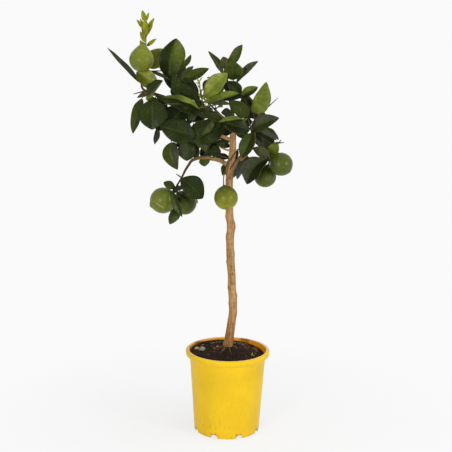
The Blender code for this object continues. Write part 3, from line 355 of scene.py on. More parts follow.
# Smaller and hidden leaves that only the looks need, on whichever limb is nearest.
# Many are "deep": near-black leaves that paint the shade inside the crown.
MORE_LEAVES = [
    ((-18.3, 0, 85.9), (-13.9, -3, 84.3), 1, (0.1, -0.8, 0.5), 0.1, "grey"),
    ((-11.5, 0.6, 84.4), (-8.7, 0.4, 87.1), 1.4, (0.3, 1, 0.3), 0.1, "grey"),
    ((-1.3, 2, 86.4), (-2, 3, 89.1), 2.5, (0, -1, 0), 0.1, "olive"),
    ((-11.6, -2, 81), (-15.6, 1, 84.5), 1.6, (0.3, -1, 0.3), 0.1, "deep", 0.3),
    ((-12.1, -3, 80.6), (-13.1, -1, 85.4), 2.5, (0.2, -1, 0.2), 0.1, "dark", 0.2),
    ((-8.7, -3, 80.2), (-10.8, -1.1, 84.7), 2.3, (0.2, -1, 0.2), 0.1, "deep", 0.2),
    ((-7.7, -4, 80.6), (-11.6, -4, 83.5), 1.8, (-0.2, -1, 0.3), 0.2, "dark", 0.2),
    ((-7.5, -5, 81.2), (-9.3, -5, 84.9), 1.3, (0.4, -1, 0), 0.1, "deep", 0.3),
    ((-9, 0, 80.1), (-14.7, 4.1, 84.6), 3.2, (0, -1, 0.2), 0.1, "deep", 0.2),
    ((-13.6, 1, 80.8), (-7.9, 3.4, 81.1), 3, (0, -1, 0.2), 0.1, "deep", 0.2),
    ((-8.8, -4, 78.1), (-17.1, -5, 80.8), 2.2, (0, -1, 0.5), 0.3, "dark", 0.2),
    ((-7.2, -5, 77.3), (-13.5, -6, 79.4), 2.5, (0, -1, 0.4), 0.3, "deep", 0.2),
    ((-11.2, -7, 79.3), (-15.2, -7.5, 79.2), 0.9, (0, -0.3, 1), 0.1, "olive", 0.1),
    ((-7.1, -3, 80), (-11.4, -3, 81.8), 2, (0, -1, 0.5), 0.2, "dark", 0.2),
    ((-6.1, -5.5, 77.4), (-8.1, -6, 80.8), 2, (0, -1, 0.3), 0.1, "deep", 0.2),
    ((-8, -3, 78.9), (-9.7, -4, 74.2), 2.5, (-0.1, -1, 0.2), 0.2, "dark", 0.2),
    ((-2.1, -4, 75.9), (-5.8, -5, 73), 2.5, (0, -1, 0.3), 0.2, "dark", 0.2),
    ((-4.1, -5, 75.8), (-6.7, -5, 72.3), 2.9, (0.2, -1, 0.3), 0.2, "green/dark", 0.2),
    ((0.4, -1, 75.3), (-2, 0.5, 71), 3.2, (0, -1, 0.2), 0.2, "dark", 0.2),
    ((-6, -7, 80), (-0.2, -8.5, 79.6), 1.7, (0.1, 1, 0.4), 0.2, "grey", 0.2),
    ((-1.9, -7.5, 80.6), (2.6, -8, 81.5), 1.6, (0, -1, 0.3), 0.1, "deep", 0.2),
    ((-7, -8, 78.6), (-4.1, -9, 79.2), 0.9, (0, -0.5, 1), 0.1, "fresh", 0.2),
    ((-6.3, -7.8, 77.7), (-1.9, -9, 75.9), 2.2, (0.2, -0.9, 0.3), 0.2, "dark"),
    ((0.2, -2, 76.5), (-2.3, -3, 77), 2.5, (0, -0.8, 0.6), 0.1, "dark", 0.2),
    ((4.1, -3.5, 75.7), (2.9, -0.4, 80.8), 2.9, (-0.2, -1, 0.2), 0.1, "deep", 0.2),
    ((5.7, -2, 75.3), (3.8, -3, 80.4), 1.8, (-0.2, -1, 0.2), 0.1, "dark", 0.3),
    ((6.1, -1, 75.6), (4.9, 2.2, 70.5), 1.8, (0.2, -1, 0.2), 0.1, "deep", 0.2),
    ((1.7, -4, 80.7), (-1.9, -4, 83.9), 2.9, (-0.2, -1, 0.3), 0.1, "dark", 0.2),
    ((2.2, -4, 80.5), (-0.1, -5, 84.2), 2, (0.2, -1, 0.3), 0.1, "deep", 0.2),
    ((4.8, -1, 74.9), (2.1, 1.4, 73.4), 2.3, (0, -1, 0.3), 0.1, "deep", 0.2),
    ((1.2, -2, 72), (4.8, -2.5, 71.4), 1.6, (0, -1, 0.3), 0.1, "dark", 0.2),
    ((4.7, -2.2, 72.7), (10.2, 0.8, 68.7), 4.3, (0.1, -1, 0.2), 0.2, "deep", 0.2),
    ((8, 0.5, 65.7), (10.8, 0, 70.1), 3.2, (0.3, -1, 0), 0.1, "light", 0.2),
    ((-0.4, -1, 70), (-3.4, -1, 69.3), 2, (0, -1, 0.3), 0.1, "dark", 0.2),
    ((-2.2, -1, 67.9), (-5.1, -1, 67.6), 2.7, (0, -1, 0.2), 0.1, "dark", 0.2),
    ((-3.4, 0, 70), (-5, 0, 66.3), 2.1, (0, -1, 0.2), 0.1, "green/dark", 0.2),
    ((-0.3, 0.8, 66), (-4, 4.4, 66.1), 1.6, (0, -1, 0.4), 0.1, "deep", 0.2),
    ((-0.1, 0.8, 68.7), (-3.6, 3.2, 69.2), 1.6, (0, -1, 0.3), 0.1, "deep", 0.2),
    ((-17.2, -3.5, 79.9), (-14.5, 0.2, 77.5), 2.3, (0.2, -1, 0.3), 0.1, "deep", 0.2),
    ((-12.3, -2.5, 80.3), (-13.7, 0.5, 82), 1.8, (0, -1, 0.2), 0.1, "deep", 0.2),
    ((-6.4, -3, 71.8), (-5.6, -4, 68.1), 2.7, (0, -1, 0.2), 0.1, "dark/green", 0.2),
    ((-6.1, -1.5, 66.5), (-5.9, -2, 64.4), 2.5, (0, -1, 0.2), 0.1, "green"),
    ((-0.3, 1, 65), (-1.8, 1, 61.8), 2.1, (0, -1, 0.2), 0.1, "green", 0.2),
    ((1.4, 1.5, 64.7), (0.7, 1.5, 61.2), 1.8, (0.3, -1, 0), 0.1, "fresh", 0.2),
    ((2.5, -1, 66.1), (1.6, -1.5, 61.4), 1.8, (0.3, -1, 0), 0.1, "slate", 0.3),
    ((4, 0, 66.6), (2.8, 0, 62.2), 2.3, (0.3, -1, 0), 0.1, "green/grey", 0.3),
    ((-18.3, -1, 80.8), (-21.4, -2, 80), 1.4, (0, -0.6, 0.6), 0.2, "olive", 0.2),
    ((-18.9, -5, 80.8), (-17.5, -6, 79.3), 1.8, (0, -0.6, 0.8), 0.2, "fresh", 0.2),
    ((-16.5, -4, 80), (-18.3, -5, 79), 1.6, (0, -0.8, 0.6), 0.2, "green", 0.2),
    ((-9.6, -1, 69.5), (-7.4, -2, 66.3), 2.7, (0, -1, 0.2), 0.2, "dark"),
    ((-17.9, -3, 75.6), (-14.9, 0.2, 72.8), 3.2, (0.2, -1, 0.2), 0.2, "deep", 0.2),
    ((-13.4, -6, 58.9), (-12.2, -7, 56.6), 2, (-0.2, -1, 0.3), 0.1, "dark", 0.2),
    ((-12.4, -2, 58.8), (-10.7, 1.6, 59.2), 1.1, (0, -1, 0.3), 0.1, "deep", 0.2),
    ((-9.8, -3, 75.9), (-5.7, -0.6, 74.5), 1.8, (0, -1, 0.2), 0.1, "deep", 0.2),
    ((-12.7, 0.5, 83.4), (-10.6, 5, 86.5), 1.4, (0, -1, 0.2), 0.1, "deep", 0.2),
    ((-10.9, -2.2, 70), (-12.6, -2.4, 69), 1.4, (0, -1, 0.3), 0.1, "grey", 0.2),
    ((1.1, 1, 65.3), (1.6, 1, 68.1), 1.1, (0.3, -1, 0), 0.1, "green", 0.2),
    ((-11.6, -5, 60.3), (-13.2, -5.5, 58.7), 1.3, (0, -1, 0.3), 0.1, "deep", 0.2),
    ((-8.5, -1, 57), (-7.6, 3.2, 54.7), 0.9, (0, -1, 0.3), 0.1, "deep", 0.2),
]
# Twigs at the crown's back with leaves in turn around them: how many, from which share of the
# twig on, how long, and which way they lean.
LEAFY_TWIGS = {
    "back_left_twig": (8, 0.3, 4.6, (0.2, 0.7, -0.3)),
    "back_right_twig": (8, 0.2, 3.8, (-0.2, 0.7, -0.1)),
    "back_high_twig": (4, 0.45, 3.4, (0.1, 0.9, -0.6)),
    "back_low_twig": (5, 0.15, 3.8, (0.2, 0.6, 0.3)),
}
GOLDEN_TURN = math.radians(137.5)
LEAFY_PETIOLE = 0.9
LEAF_BELLY = 0.46            # how far along its blade a leaf is widest
BASE_FULLNESS = 0.62         # lower is blunter
TIP_FULLNESS = 0.76
EDGE_WANDER = 0.16           # how unevenly a blade's edges run
LEAF_FOLD = 0.16
# A blade's two halves often take a lit and a shaded tone: painted light and shade.
TONE_CONTRAST = 2.2          # how sharply the tones of a blade's halves meet
LEAF_THICKNESS = 0.07
PETIOLE_HALF_WIDTH = 0.08
PETIOLE_THICKNESS = 0.13
SHORTEST_PETIOLE = 0.15
TIP_HALF_WIDTH = 0.03
LEAF_STATIONS = 22
LEAF_COLUMNS = 6             # on each side of the midrib

# The soft yellow-green shoot at the very top: its stem, and its leaflets with base, tip and width.
SHOOT_STEM = [(-19.5, -0.05, 91.35), (-19.48, 0, 93.3), (-19.42, 0, 94.6), (-19.6, 0, 96.2),
              (-19.8, 0, 97.8)]
SHOOT_STEM_RADIUS = 0.14
SHOOT_LEAFLETS = [
    ((-19.8, 0, 97.1), (-20.3, 0, 99.5), 1.1), ((-19.5, 0, 97), (-18.8, 0.3, 99), 0.7),
    ((-19.9, 0, 95.4), (-21.6, 0.2, 97.4), 0.8), ((-19.8, -0.3, 95.8), (-20.8, -0.4, 97.6), 0.7),
    ((-19.3, 0, 95), (-17.6, 0.2, 97.8), 0.9), ((-19.3, -0.2, 94), (-17.9, -0.4, 96.4), 0.8),
    ((-19.4, -0.5, 94.1), (-19.6, -0.7, 97.8), 1.3), ((-19.6, -0.3, 93.8), (-20.4, -0.5, 96.2), 0.8),
    ((-19.5, -0.2, 92.3), (-20.8, -0.3, 94.8), 1.0), ((-19.3, 0, 91.5), (-17.1, -0.3, 93.2), 0.9),
    ((-20, -0.4, 91.4), (-20.8, -0.6, 92.8), 0.9), ((-19.6, 0.3, 93.2), (-19, 0.8, 95.8), 0.8),
]
# Buds that have just opened on the twigs below it.
BUD_LEAFLETS = [
    ((-7.1, -8.3, 84.3), (-7.8, -8.6, 85.2), 0.45), ((-7.1, -8.3, 84.6), (-6.5, -8.4, 85.6), 0.3),
    ((-7, -8.3, 83.9), (-7.9, -8.8, 84.4), 0.4), ((-7, -8.2, 83), (-7.5, -8.6, 83.9), 0.4),
    ((-6.9, -8.2, 82.2), (-6.2, -8.6, 83), 0.4), ((-6.8, -8.2, 81.1), (-7.3, -8.7, 81.9), 0.4),
    ((-6.6, -8.2, 80.5), (-5.9, -8.8, 81.3), 0.4), ((-15.8, -0.9, 86.1), (-16.4, -1.2, 87.4), 0.5),
    ((-15.7, -0.8, 86.1), (-15.5, -1, 87.1), 0.3),
]


def metres(point):
    """A point given in centimetres, in scene units."""
    return Vector(point) * CENTIMETRE


def clamped(share):
    return min(1, max(0, share))


def between(first, second, share):
    """The tone at this share of the way from the first to the second."""
    return [low + (high - low) * share for low, high in zip(first, second)]


def around(sides):
    """Headings of equal steps around a circle, in radians."""
    return [step * math.tau / sides for step in range(sides)]


def from_axis(reach, turn, height=0.0):
    """The point at this distance from the upright axis, at this heading and height."""
    return Vector((reach * math.cos(turn), reach * math.sin(turn), height))


# -------- materials
class Nodes:
    """Short calls that add nodes to a shader tree."""

    def __init__(self, tree):
        self.tree = tree

    def node(self, kind, inputs=None, **settings):
        made = self.tree.nodes.new("ShaderNode" + kind)
        for label, value in settings.items():
            setattr(made, label, value)
        for key, value in (inputs or {}).items():
            self.plug(made.inputs[key], value)
        return made

    def plug(self, socket, value):
        if isinstance(value, bpy.types.NodeSocket):
            self.tree.links.new(value, socket)
        else:
            socket.default_value = value

    def math(self, operation, first, second=0.0):
        return self.node("Math", {0: first, 1: second}, operation=operation).outputs[0]

    def add(self, first, second):
        return self.math("ADD", first, second)

    def times(self, first, second):
        return self.math("MULTIPLY", first, second)

    def parts(self, vector):
        return self.node("SeparateXYZ", {0: vector}).outputs

    def step(self, value, low, high, start=0.0, end=1.0, curve="SMOOTHSTEP"):
        """From start to end along this curve, as value goes from low to high."""
        inputs = {"Value": value, "From Min": low, "From Max": high, "To Min": start,
                  "To Max": end}
        return self.node("MapRange", inputs, interpolation_type=curve).outputs[0]

    def seen_directly(self):
        """1 where a camera, glossy or transmission ray arrives, and otherwise 0."""
        path = self.node("LightPath").outputs
        found = path["Is Camera Ray"]
        for label in ("Is Glossy Ray", "Is Transmission Ray"):
            found = self.math("MAXIMUM", found, path[label])
        return found

    def glow_over(self, shader, glow, share):
        """The first shader, with the glow in its place where share is high."""
        mixed = self.node("MixShader", {0: share, 1: shader.outputs[0], 2: glow.outputs[0]})
        return mixed.outputs[0]


class Finish(Nodes):
    """A Principled material whose base colour is built up in layers."""

    def __init__(self, name, roughness, specular):
        self.material = bpy.data.materials.new(name)
        self.material.use_nodes = True
        super().__init__(self.material.node_tree)
        self.shader = self.tree.nodes["Principled BSDF"]
        self.set("Roughness", roughness)
        self.set("Specular IOR Level", specular)
        self.base = None

    def set(self, label, value):
        """Give one of the shader's inputs a value or a link."""
        self.plug(self.shader.inputs[label], value)

    def place(self, stretch=(1, 1, 1)):
        """Object coordinates, in metres, stretched along the axes."""
        spot = self.node("TexCoord").outputs["Object"]
        return self.node("Mapping", {"Vector": spot, "Scale": stretch}).outputs[0]

    def painted(self, name, output):
        """What the mesh's points carry under this name."""
        return self.node("Attribute", attribute_name=name).outputs[output]

    def noise(self, scale, where=None, detail=3.0, roughness=0.55):
        inputs = {"Scale": scale, "Detail": detail, "Roughness": roughness,
                  "Vector": where or self.place()}
        return self.node("TexNoise", inputs).outputs["Fac"]

    def cells(self, scale, where=None):
        return self.node("TexVoronoi", {"Scale": scale, "Vector": where or self.place()}).outputs[0]

    def blend(self, share, first, second, mode="MIX"):
        colours = [value if isinstance(value, bpy.types.NodeSocket) else (*value, 1)
                   for value in (first, second)]
        inputs = {0: share, 6: colours[0], 7: colours[1]}
        return self.node("Mix", inputs, data_type="RGBA", blend_type=mode).outputs[2]

    def coat(self, share, colour, mode="MIX"):
        """Lay a colour over the base where share is high."""
        self.base = self.blend(share, self.base, colour, mode)

    def tint(self, share, colour):
        """Multiply the base by a colour where share is high."""
        self.coat(share, colour, "MULTIPLY")

    def finished(self, height, distance, strength):
        """The material, with its base colour and this relief in place."""
        inputs = {"Height": height, "Distance": distance, "Strength": strength}
        self.set("Normal", self.node("Bump", inputs).outputs[0])
        self.set("Base Color", self.base)
        return self.material


def leaf_finish():
    """Leathery leaf: painted tone that holds painted light and shade, pale midrib and side veins, pale
    specks of dust and painted sheen, duller and greyer underneath.
    """
    finish = Finish("leaf_skin", 0.4, 0.12)
    step, times = finish.step, finish.times
    finish.base = finish.painted("tone", "Color")
    side, along, below = finish.parts(finish.painted("grain", "Vector"))
    across = finish.math("ABSOLUTE", side)
    ridge = finish.math("PINGPONG", finish.math("SUBTRACT", times(along, SIDE_VEINS),
                                                times(across, VEIN_SLANT)), 0.5)
    vein = times(step(ridge, 0.36, 0.5), step(across, 0.7, 1.0, 1.0, 0.0))
    patches = finish.noise(38)
    mottle = finish.noise(150, detail=5.0, roughness=0.65)
    finish.tint(step(patches, 0.42, 0.62, 0.0, 0.6), (0.50, 0.55, 0.45))
    finish.tint(step(mottle, 0.45, 0.65, 0.0, 0.5), (0.60, 0.62, 0.50))
    finish.tint(step(mottle, 0.32, 0.45, 0.35, 0.0), (1.7, 1.6, 1.4))
    # Pale patchy specks: partly dust, partly a painted sheen.
    dust_and_sheen = times(step(finish.noise(210, detail=5.0), 0.56, 0.66), step(patches, 0.50, 0.38))
    finish.coat(times(dust_and_sheen, 0.35), DUST_AND_SHEEN)
    finish.coat(times(step(across, 0.03, 0.09, 1.0, 0.0), 0.16), VEIN)
    finish.coat(times(vein, 0.10), VEIN)
    finish.coat(step(across, 0.90, 1.0, 0.0, 0.35), VEIN)
    finish.coat(below, finish.blend(0.55, finish.base, UNDERSIDE))
    finish.set("Roughness", finish.add(step(mottle, 0.3, 0.7, 0.24, 0.42), times(below, 0.2)))
    return finish.finished(finish.add(times(vein, -1.0), finish.noise(300)), 0.0007, 0.6)


def fruit_finish():
    """Orange peel: painted tone, blotches where the green lingers, and fine oil pits."""
    finish = Finish("orange_peel", 0.3, 0.26)
    step = finish.step
    finish.base = finish.painted("tone", "Color")
    patches = finish.noise(85, detail=5.0, roughness=0.65)
    finish.tint(step(patches, 0.40, 0.60, 0.0, 0.6), (0.58, 0.68, 0.45))
    finish.coat(step(finish.noise(190, detail=5.0), 0.60, 0.70, 0.0, 0.3), (0.30, 0.27, 0.08))
    pits = finish.cells(620)
    finish.coat(step(pits, 0.0, 0.35, 0.4, 0.0), (0.05, 0.08, 0.005))
    finish.set("Roughness", step(patches, 0.3, 0.7, 0.27, 0.4))
    return finish.finished(step(pits, 0.0, 0.5), 0.0003, 0.35)


def bark_finish():
    """Smooth young bark: painted tone with streaks along the limb and small dark buds."""
    finish = Finish("bark_skin", 0.7, 0.2)
    step = finish.step
    finish.base = finish.painted("tone", "Color")
    grain = finish.painted("grain", "Vector")
    streaks = finish.noise(300, grain, detail=5.0, roughness=0.7)
    broad = finish.noise(75, grain, detail=4.0)
    rings = finish.noise(60, finish.place((0.4, 0.4, 2.5)), detail=4.0)
    height = finish.parts(finish.place())[2]
    spots = finish.cells(75, finish.place((1, 1, 0.6)))
    finish.tint(step(streaks, 0.44, 0.60, 0.0, 0.75), (0.46, 0.30, 0.20))
    finish.tint(step(rings, 0.52, 0.66, 0.0, 0.55), (0.62, 0.44, 0.32))
    finish.tint(step(broad, 0.46, 0.66, 0.0, 0.45), (1.45, 1.5, 1.7))
    finish.tint(step(height, 0.22, 0.34, 0.8, 0.0), (0.88, 0.72, 0.60))
    finish.coat(step(spots, 0.08, 0.19, 0.55, 0.0), (0.09, 0.045, 0.022))
    return finish.finished(finish.add(streaks, broad), 0.0014, 0.6)


def pot_finish():
    """Yellow plastic: painted orange shade inside, a painted highlight on the lip, dirt splashed up
    from below, dirt and painted shade at the notches, darker patches along the foot.
    """
    finish = Finish("pot_plastic", 0.42, 0.25)
    step, times, add = finish.step, finish.times, finish.add
    x, y, height = finish.parts(finish.place())
    facing = finish.parts(finish.node("TexCoord").outputs["Normal"])
    outward = add(times(x, facing[0]), times(y, facing[1]))
    reach = finish.math("SQRT", add(times(x, x), times(y, y)))
    finish.base = finish.blend(step(finish.noise(14), 0.35, 0.65), (0.95, 0.610, 0.008),
                               (0.88, 0.560, 0.008))
    mottle = finish.noise(260, finish.place(UPRIGHT_GRAIN), detail=5.0)
    finish.coat(step(mottle, 0.45, 0.75, 0.0, 0.3), (0.70, 0.43, 0.008))
    # Painted shade: faces turned towards the axis take the orange that the yellow plastic shows in its
    # own shadow.
    finish.coat(step(outward, -0.05, -0.02, 1.0, 0.0), (0.95, 0.34, 0.004))
    # Painted highlight: a pale cream line along the inner top edge of the lip.
    lip = times(step(height, 0.1975, 0.1990), step(reach, 0.0932, 0.0945, 1.0, 0.0))
    finish.coat(times(lip, 0.8), (0.93, 0.80, 0.60))
    dust = finish.noise(210, finish.place(UPRIGHT_GRAIN), detail=5.0, roughness=0.65)
    splash = times(step(height, 0.012, 0.075, 1.0, 0.1), step(x, -0.07, 0.01, 1.0, 0.25))
    finish.coat(times(times(step(dust, 0.56, 0.66), splash), 0.9), (0.26, 0.16, 0.02))
    turns = times(finish.math("ARCTAN2", y, x), NOTCHES)
    by_notch = times(step(finish.math("COSINE", turns), -0.75, -0.45, 1.0, 0.0),
                     step(height, CHANNEL_HEIGHT + 0.001, CHANNEL_HEIGHT + 0.004, 1.0, 0.0))
    # Brown patches above the notches: partly dirt, partly painted shade in the notches' recess.
    notch_dirt_and_shade = times(by_notch, step(finish.noise(170, detail=4.0), 0.45, 0.55))
    finish.coat(times(notch_dirt_and_shade, 0.7), (0.28, 0.10, 0.010))
    # Darker brown patches on the lowest 6 mm of the pot.
    darker_foot_patches = times(step(height, 0.0, 0.006, 1.0, 0.0), step(finish.noise(120), 0.45, 0.6))
    finish.coat(times(darker_foot_patches, 0.5), (0.20, 0.09, 0.02))
    return finish.finished(finish.noise(420), 0.0003, 0.2)


def soil_finish():
    """Damp dark peat with grit and paler fibres; crumbs and stones bring their own tone."""
    finish = Finish("peat", 0.9, 0.2)
    finish.base = finish.painted("tone", "Color")
    grit = finish.noise(650, detail=6.0, roughness=0.7)
    fibre = finish.noise(900, finish.place((1, 0.25, 1)), detail=4.0)
    finish.tint(finish.step(grit, 0.35, 0.65, 0.0, 0.75), (0.40, 0.36, 0.34))
    finish.coat(finish.step(fibre, 0.68, 0.78, 0.0, 0.35), (0.16, 0.12, 0.07))
    return finish.finished(grit, 0.0015, 0.8)


# -------- meshes
class Canvas:
    """A bmesh whose points carry a tone and a grain for the materials."""

    def __init__(self):
        self.mesh = bmesh.new()
        self.tone = self.mesh.verts.layers.float_color.new("tone")
        self.grain = self.mesh.verts.layers.float_vector.new("grain")

    def point(self, place, tone, grain):
        vertex = self.mesh.verts.new(place)
        vertex[self.tone] = (*tone, 1)
        vertex[self.grain] = grain
        return vertex


def plain_object(name, mesh):
    """An object made of the bmesh, which is used up."""
    data = bpy.data.meshes.new(name)
    mesh.to_mesh(data)
    mesh.free()
    made = bpy.data.objects.new(name, data)
    bpy.context.scene.collection.objects.link(made)
    return made


def add_piece(name, mesh, finish, replaced=()):
    """Give the bmesh an object that rides on the frame and stands for the replaced CAD nodes."""
    bmesh.ops.recalc_face_normals(mesh, faces=mesh.faces)
    made = plain_object(name, mesh)
    made.data.shade_smooth()
    made.data.materials.append(finish)
    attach(made, BODY)
    if replaced:
        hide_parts(*replaced)
    return made


def bridge(mesh, lower, upper):
    """Join two closed rows of points with faces; a row of one point is a pole."""
    sides = max(len(lower), len(upper))
    for step in range(sides):
        after = (step + 1) % sides
        corners = (lower[step % len(lower)], lower[after % len(lower)],
                   upper[after % len(upper)], upper[step % len(upper)])
        mesh.faces.new(list(dict.fromkeys(corners)))


def loft(canvas, rings):
    """Skin a row of equal rings of (point, tone, grain) and cap both ends."""
    rows = [[canvas.point(*spot) for spot in ring] for ring in rings]
    for lower, upper in zip(rows, rows[1:]):
        bridge(canvas.mesh, lower, upper)
    canvas.mesh.faces.new(rows[0][::-1])
    canvas.mesh.faces.new(rows[-1])


def smooth_route(points, radii, spans):
    """A Catmull-Rom curve through the points, with the radius at each of its steps."""
    route = []
    for index in range(len(points) - 1):
        before = points[max(index - 1, 0)]
        start, end = points[index], points[index + 1]
        after = points[min(index + 2, len(points) - 1)]
        for step in range(spans):
            share = step / spans
            spot = 0.5 * (2 * start + (end - before) * share
                          + (2 * before - 5 * start + 4 * end - after) * share ** 2
                          + (3 * start - before - 3 * end + after) * share ** 3)
            route.append((spot, radii[index] + (radii[index + 1] - radii[index]) * share))
    route.append((points[-1], radii[-1]))
    return route


def limb_tone(radius):
    """Thick wood has tan bark, and thin twigs are grey-green."""
    return between(TWIG, BARK, clamped((radius - GREEN_RADIUS) / BARK_GROWTH))


def tube(canvas, route, sides, swell=None, tone=None):
    """A round limb along a smooth route of (point, radius); swell adds lumps to its radius."""
    rings = []
    side = Vector((0, 1, 0))
    run = 0.0
    for index, (point, radius) in enumerate(route):
        before = route[max(index - 1, 0)][0]
        after = route[min(index + 1, len(route) - 1)][0]
        along = (after - before).normalized()
        side = (side - along * side.dot(along)).normalized()
        other = along.cross(side)
        run += (point - before).length
        ring = []
        for turn in around(sides):
            outward = math.cos(turn) * side + math.sin(turn) * other
            reach = radius * (swell(turn, point, radius) if swell else 1)
            ring.append((point + outward * reach, tone or limb_tone(radius),
                         from_axis(radius, turn, run * GRAIN_STRETCH)))
        rings.append(ring)
    loft(canvas, rings)


# -------- wood
def trunk_swell(turn, point, _):
    """Slow waves of the bark, and the knots where old side shoots were cut."""
    height = point.z / CENTIMETRE
    lumps = 1 + 0.03 * noise.noise(from_axis(0.8, turn, height / 2.2))
    for heading, place, size, length in TRUNK_KNOTS:
        turned = math.remainder(turn - heading, math.tau)
        lumps += size * math.exp(-(turned / KNOT_SPREAD) ** 2 - ((height - place) / length) ** 2)
    return lumps


def limb_swell(turn, point, _):
    """Fine unevenness of a limb or twig."""
    return 1 + 0.07 * noise.noise(point * 120 + from_axis(1, turn))


def limb_route(points, first, last):
    """The smooth route of a limb in scene units, with its radius tapering from first to last."""
    steps = len(points) - 1
    radii = [(first + (last - first) * step / steps) * CENTIMETRE for step in range(steps + 1)]
    return smooth_route([metres(point) for point in points], radii, LIMB_SPANS)


def orange_pole(name):
    """Where the fruit's skin meets its stalk, and the unit vector from the centre to there."""
    centre, radius, towards_stalk, neck = ORANGES[name][:4]
    up = Vector(towards_stalk).normalized()
    return metres(centre) + up * (radius + neck) * CENTIMETRE, up


def stalk(canvas, name):
    """A fruit's stalk, ending in the small flared calyx that sits on the fruit."""
    pole, up = orange_pole(name)
    root = metres(ORANGES[name][4])
    calyx_top = pole + up * (CALYX_LENGTH + CLEARANCE) * CENTIMETRE
    calyx_foot = pole + up * CLEARANCE * CENTIMETRE
    bend = calyx_top.lerp(root, 0.45) + up * (calyx_top - root).length * 0.12
    thin, wide = STALK_RADIUS * CENTIMETRE, CALYX_RADIUS * CENTIMETRE
    route = smooth_route([root, bend, calyx_top], [thin, thin, thin * 1.1], 8)
    for share in (0.3, 0.6, 0.85, 1.0):
        route.append((calyx_top.lerp(calyx_foot, share), thin + (wide - thin) * share ** 1.5))

    def lobes(turn, _, radius):
        return 1 + 0.16 * math.cos(CALYX_LOBES * turn) * max(0, radius / thin - 1.2) / 2
    tube(canvas, route, STALK_SIDES, lobes, STALK_TONE)


def build_wood(finish):
    """The trunk, limbs, twigs, stubs, thorns and fruit stalks, in one piece."""
    canvas = Canvas()
    trunk = smooth_route([metres(point) for point in TRUNK],
                         [radius * CENTIMETRE for radius in TRUNK_RADII], 10)
    tube(canvas, trunk, TRUNK_SIDES, trunk_swell)
    for limb in (*LIMBS.values(), *SMALL_TWIGS.values()):
        tube(canvas, limb_route(*limb), LIMB_SIDES, limb_swell)
    for stub in STUBS.values():
        tube(canvas, limb_route(*stub), LIMB_SIDES, limb_swell, BARK)
    for root, tip in THORNS:
        radii = [THORN_RADIUS * CENTIMETRE * share for share in (1.2, 0.9, 0.4)]
        points = [metres(root), metres(root).lerp(metres(tip), 0.6), metres(tip)]
        tube(canvas, smooth_route(points, radii, 6), THORN_SIDES)
    for name in ORANGES:
        stalk(canvas, name)
    add_piece("bark_and_branches", canvas.mesh, finish, ["tree_wood"])


# -------- fruit
def peel_spot(way, polar, turn, radius, neck, nipple):
    """The skin's place, in cm from the fruit's centre, with its stalk upwards."""
    bulge = 1 + 0.012 * noise.noise(way * 1.6 + Vector((radius, neck, 0)))
    furrow = 0.05 * neck * math.cos(FURROWS * turn) * math.exp(-((polar - 0.35) / 0.25) ** 2)
    raised = neck * math.exp(-(polar / NECK_SPREAD) ** 2) - furrow
    lowered = nipple * math.exp(-((math.pi - polar) / NIPPLE_SPREAD) ** 2)
    return way * radius * bulge + Vector((0, 0, raised - lowered))


def build_orange(name, finish):
    """A round fruit with a slight neck at its stalk and a blunt nipple at its far end."""
    centre, radius, _, neck, _, top_tone, low_tone, nipple = ORANGES[name]
    upright = orange_pole(name)[1].to_track_quat("Z", "X").to_matrix()
    canvas = Canvas()
    rings = []
    for ring in range(1, ORANGE_RINGS):
        polar = math.pi * ring / ORANGE_RINGS
        row = []
        for turn in around(ORANGE_SIDES):
            way = from_axis(math.sin(polar), turn, math.cos(polar))
            spot = upright @ peel_spot(way, polar, turn, radius, neck, nipple)
            ripeness = clamped((1 - way.z) / 1.7 + 0.15 * noise.noise(way * 2.2))
            tone = between(FRUIT_TONES[top_tone], FRUIT_TONES[low_tone], ripeness)
            row.append((metres(spot + Vector(centre)), tone, way))
        rings.append(row)
    loft(canvas, rings)
    if name in SCARRED:
        skin = (radius - 0.02) * CENTIMETRE
        scar = [metres(centre) + Vector(way).normalized() * skin for way in SCARRED[name]]
        tube(canvas, smooth_route(scar, SCAR_RADII, 8), 8, tone=SCAR_TONE)
    add_piece(f"peel_{name}", canvas.mesh, finish, [f"orange_{name}"])


# -------- leaves
def blade_half_width(share, width, belly):
    """A citrus leaf: rounded at its base, widest at its belly, bluntly pointed at its tip."""
    evened = share ** (math.log(0.5) / math.log(belly))
    fullness = BASE_FULLNESS if evened < 0.5 else TIP_FULLNESS
    return max(width / 2 * math.sin(math.pi * evened) ** fullness, TIP_HALF_WIDTH)


def blade_tones(names, share):
    """Tones of a blade's two halves at this share of its length; a lit and a shaded half, or a darker
    base, is painted light and shade.

    The names are one tone, "left/right" halves with the tip ahead, or either of these at the
    blade's base and at its tip with ">" between them.
    """
    ends = names.split(">")
    rise = clamped((share - 0.35) / 0.3)
    near, far = ([Vector(TONES[name]) for name in (end.split("/")[0], end.split("/")[-1])]
                 for end in (ends[0], ends[-1]))
    return [low.lerp(high, rise) for low, high in zip(near, far)]


def leaf_ring(point, along, faces, widths, thickness, fold, lift, share, tones):
    """One closed cross-section of a leaf, from its left edge over the top and back underneath.

    The widths and the tones are those of its left and its right half, with the tip ahead.
    """
    side = along.cross(faces).normalized()
    up = side.cross(along).normalized()
    ring = []
    top = [column / LEAF_COLUMNS for column in range(-LEAF_COLUMNS, LEAF_COLUMNS + 1)]
    for below, columns in ((0, top), (1, top[-2:0:-1])):
        for across in columns:
            reach = widths[across > 0]
            tone = tones[0].lerp(tones[1], clamped(0.5 + across * TONE_CONTRAST))
            body = thickness / 2 * math.sqrt(1 - across ** 2)
            rise = fold * reach * abs(across) ** 1.3 + lift(across)
            spot = point + side * across * reach + up * (rise + (-body if below else body))
            ring.append((metres(spot), tone, (across, share, below)))
    return ring


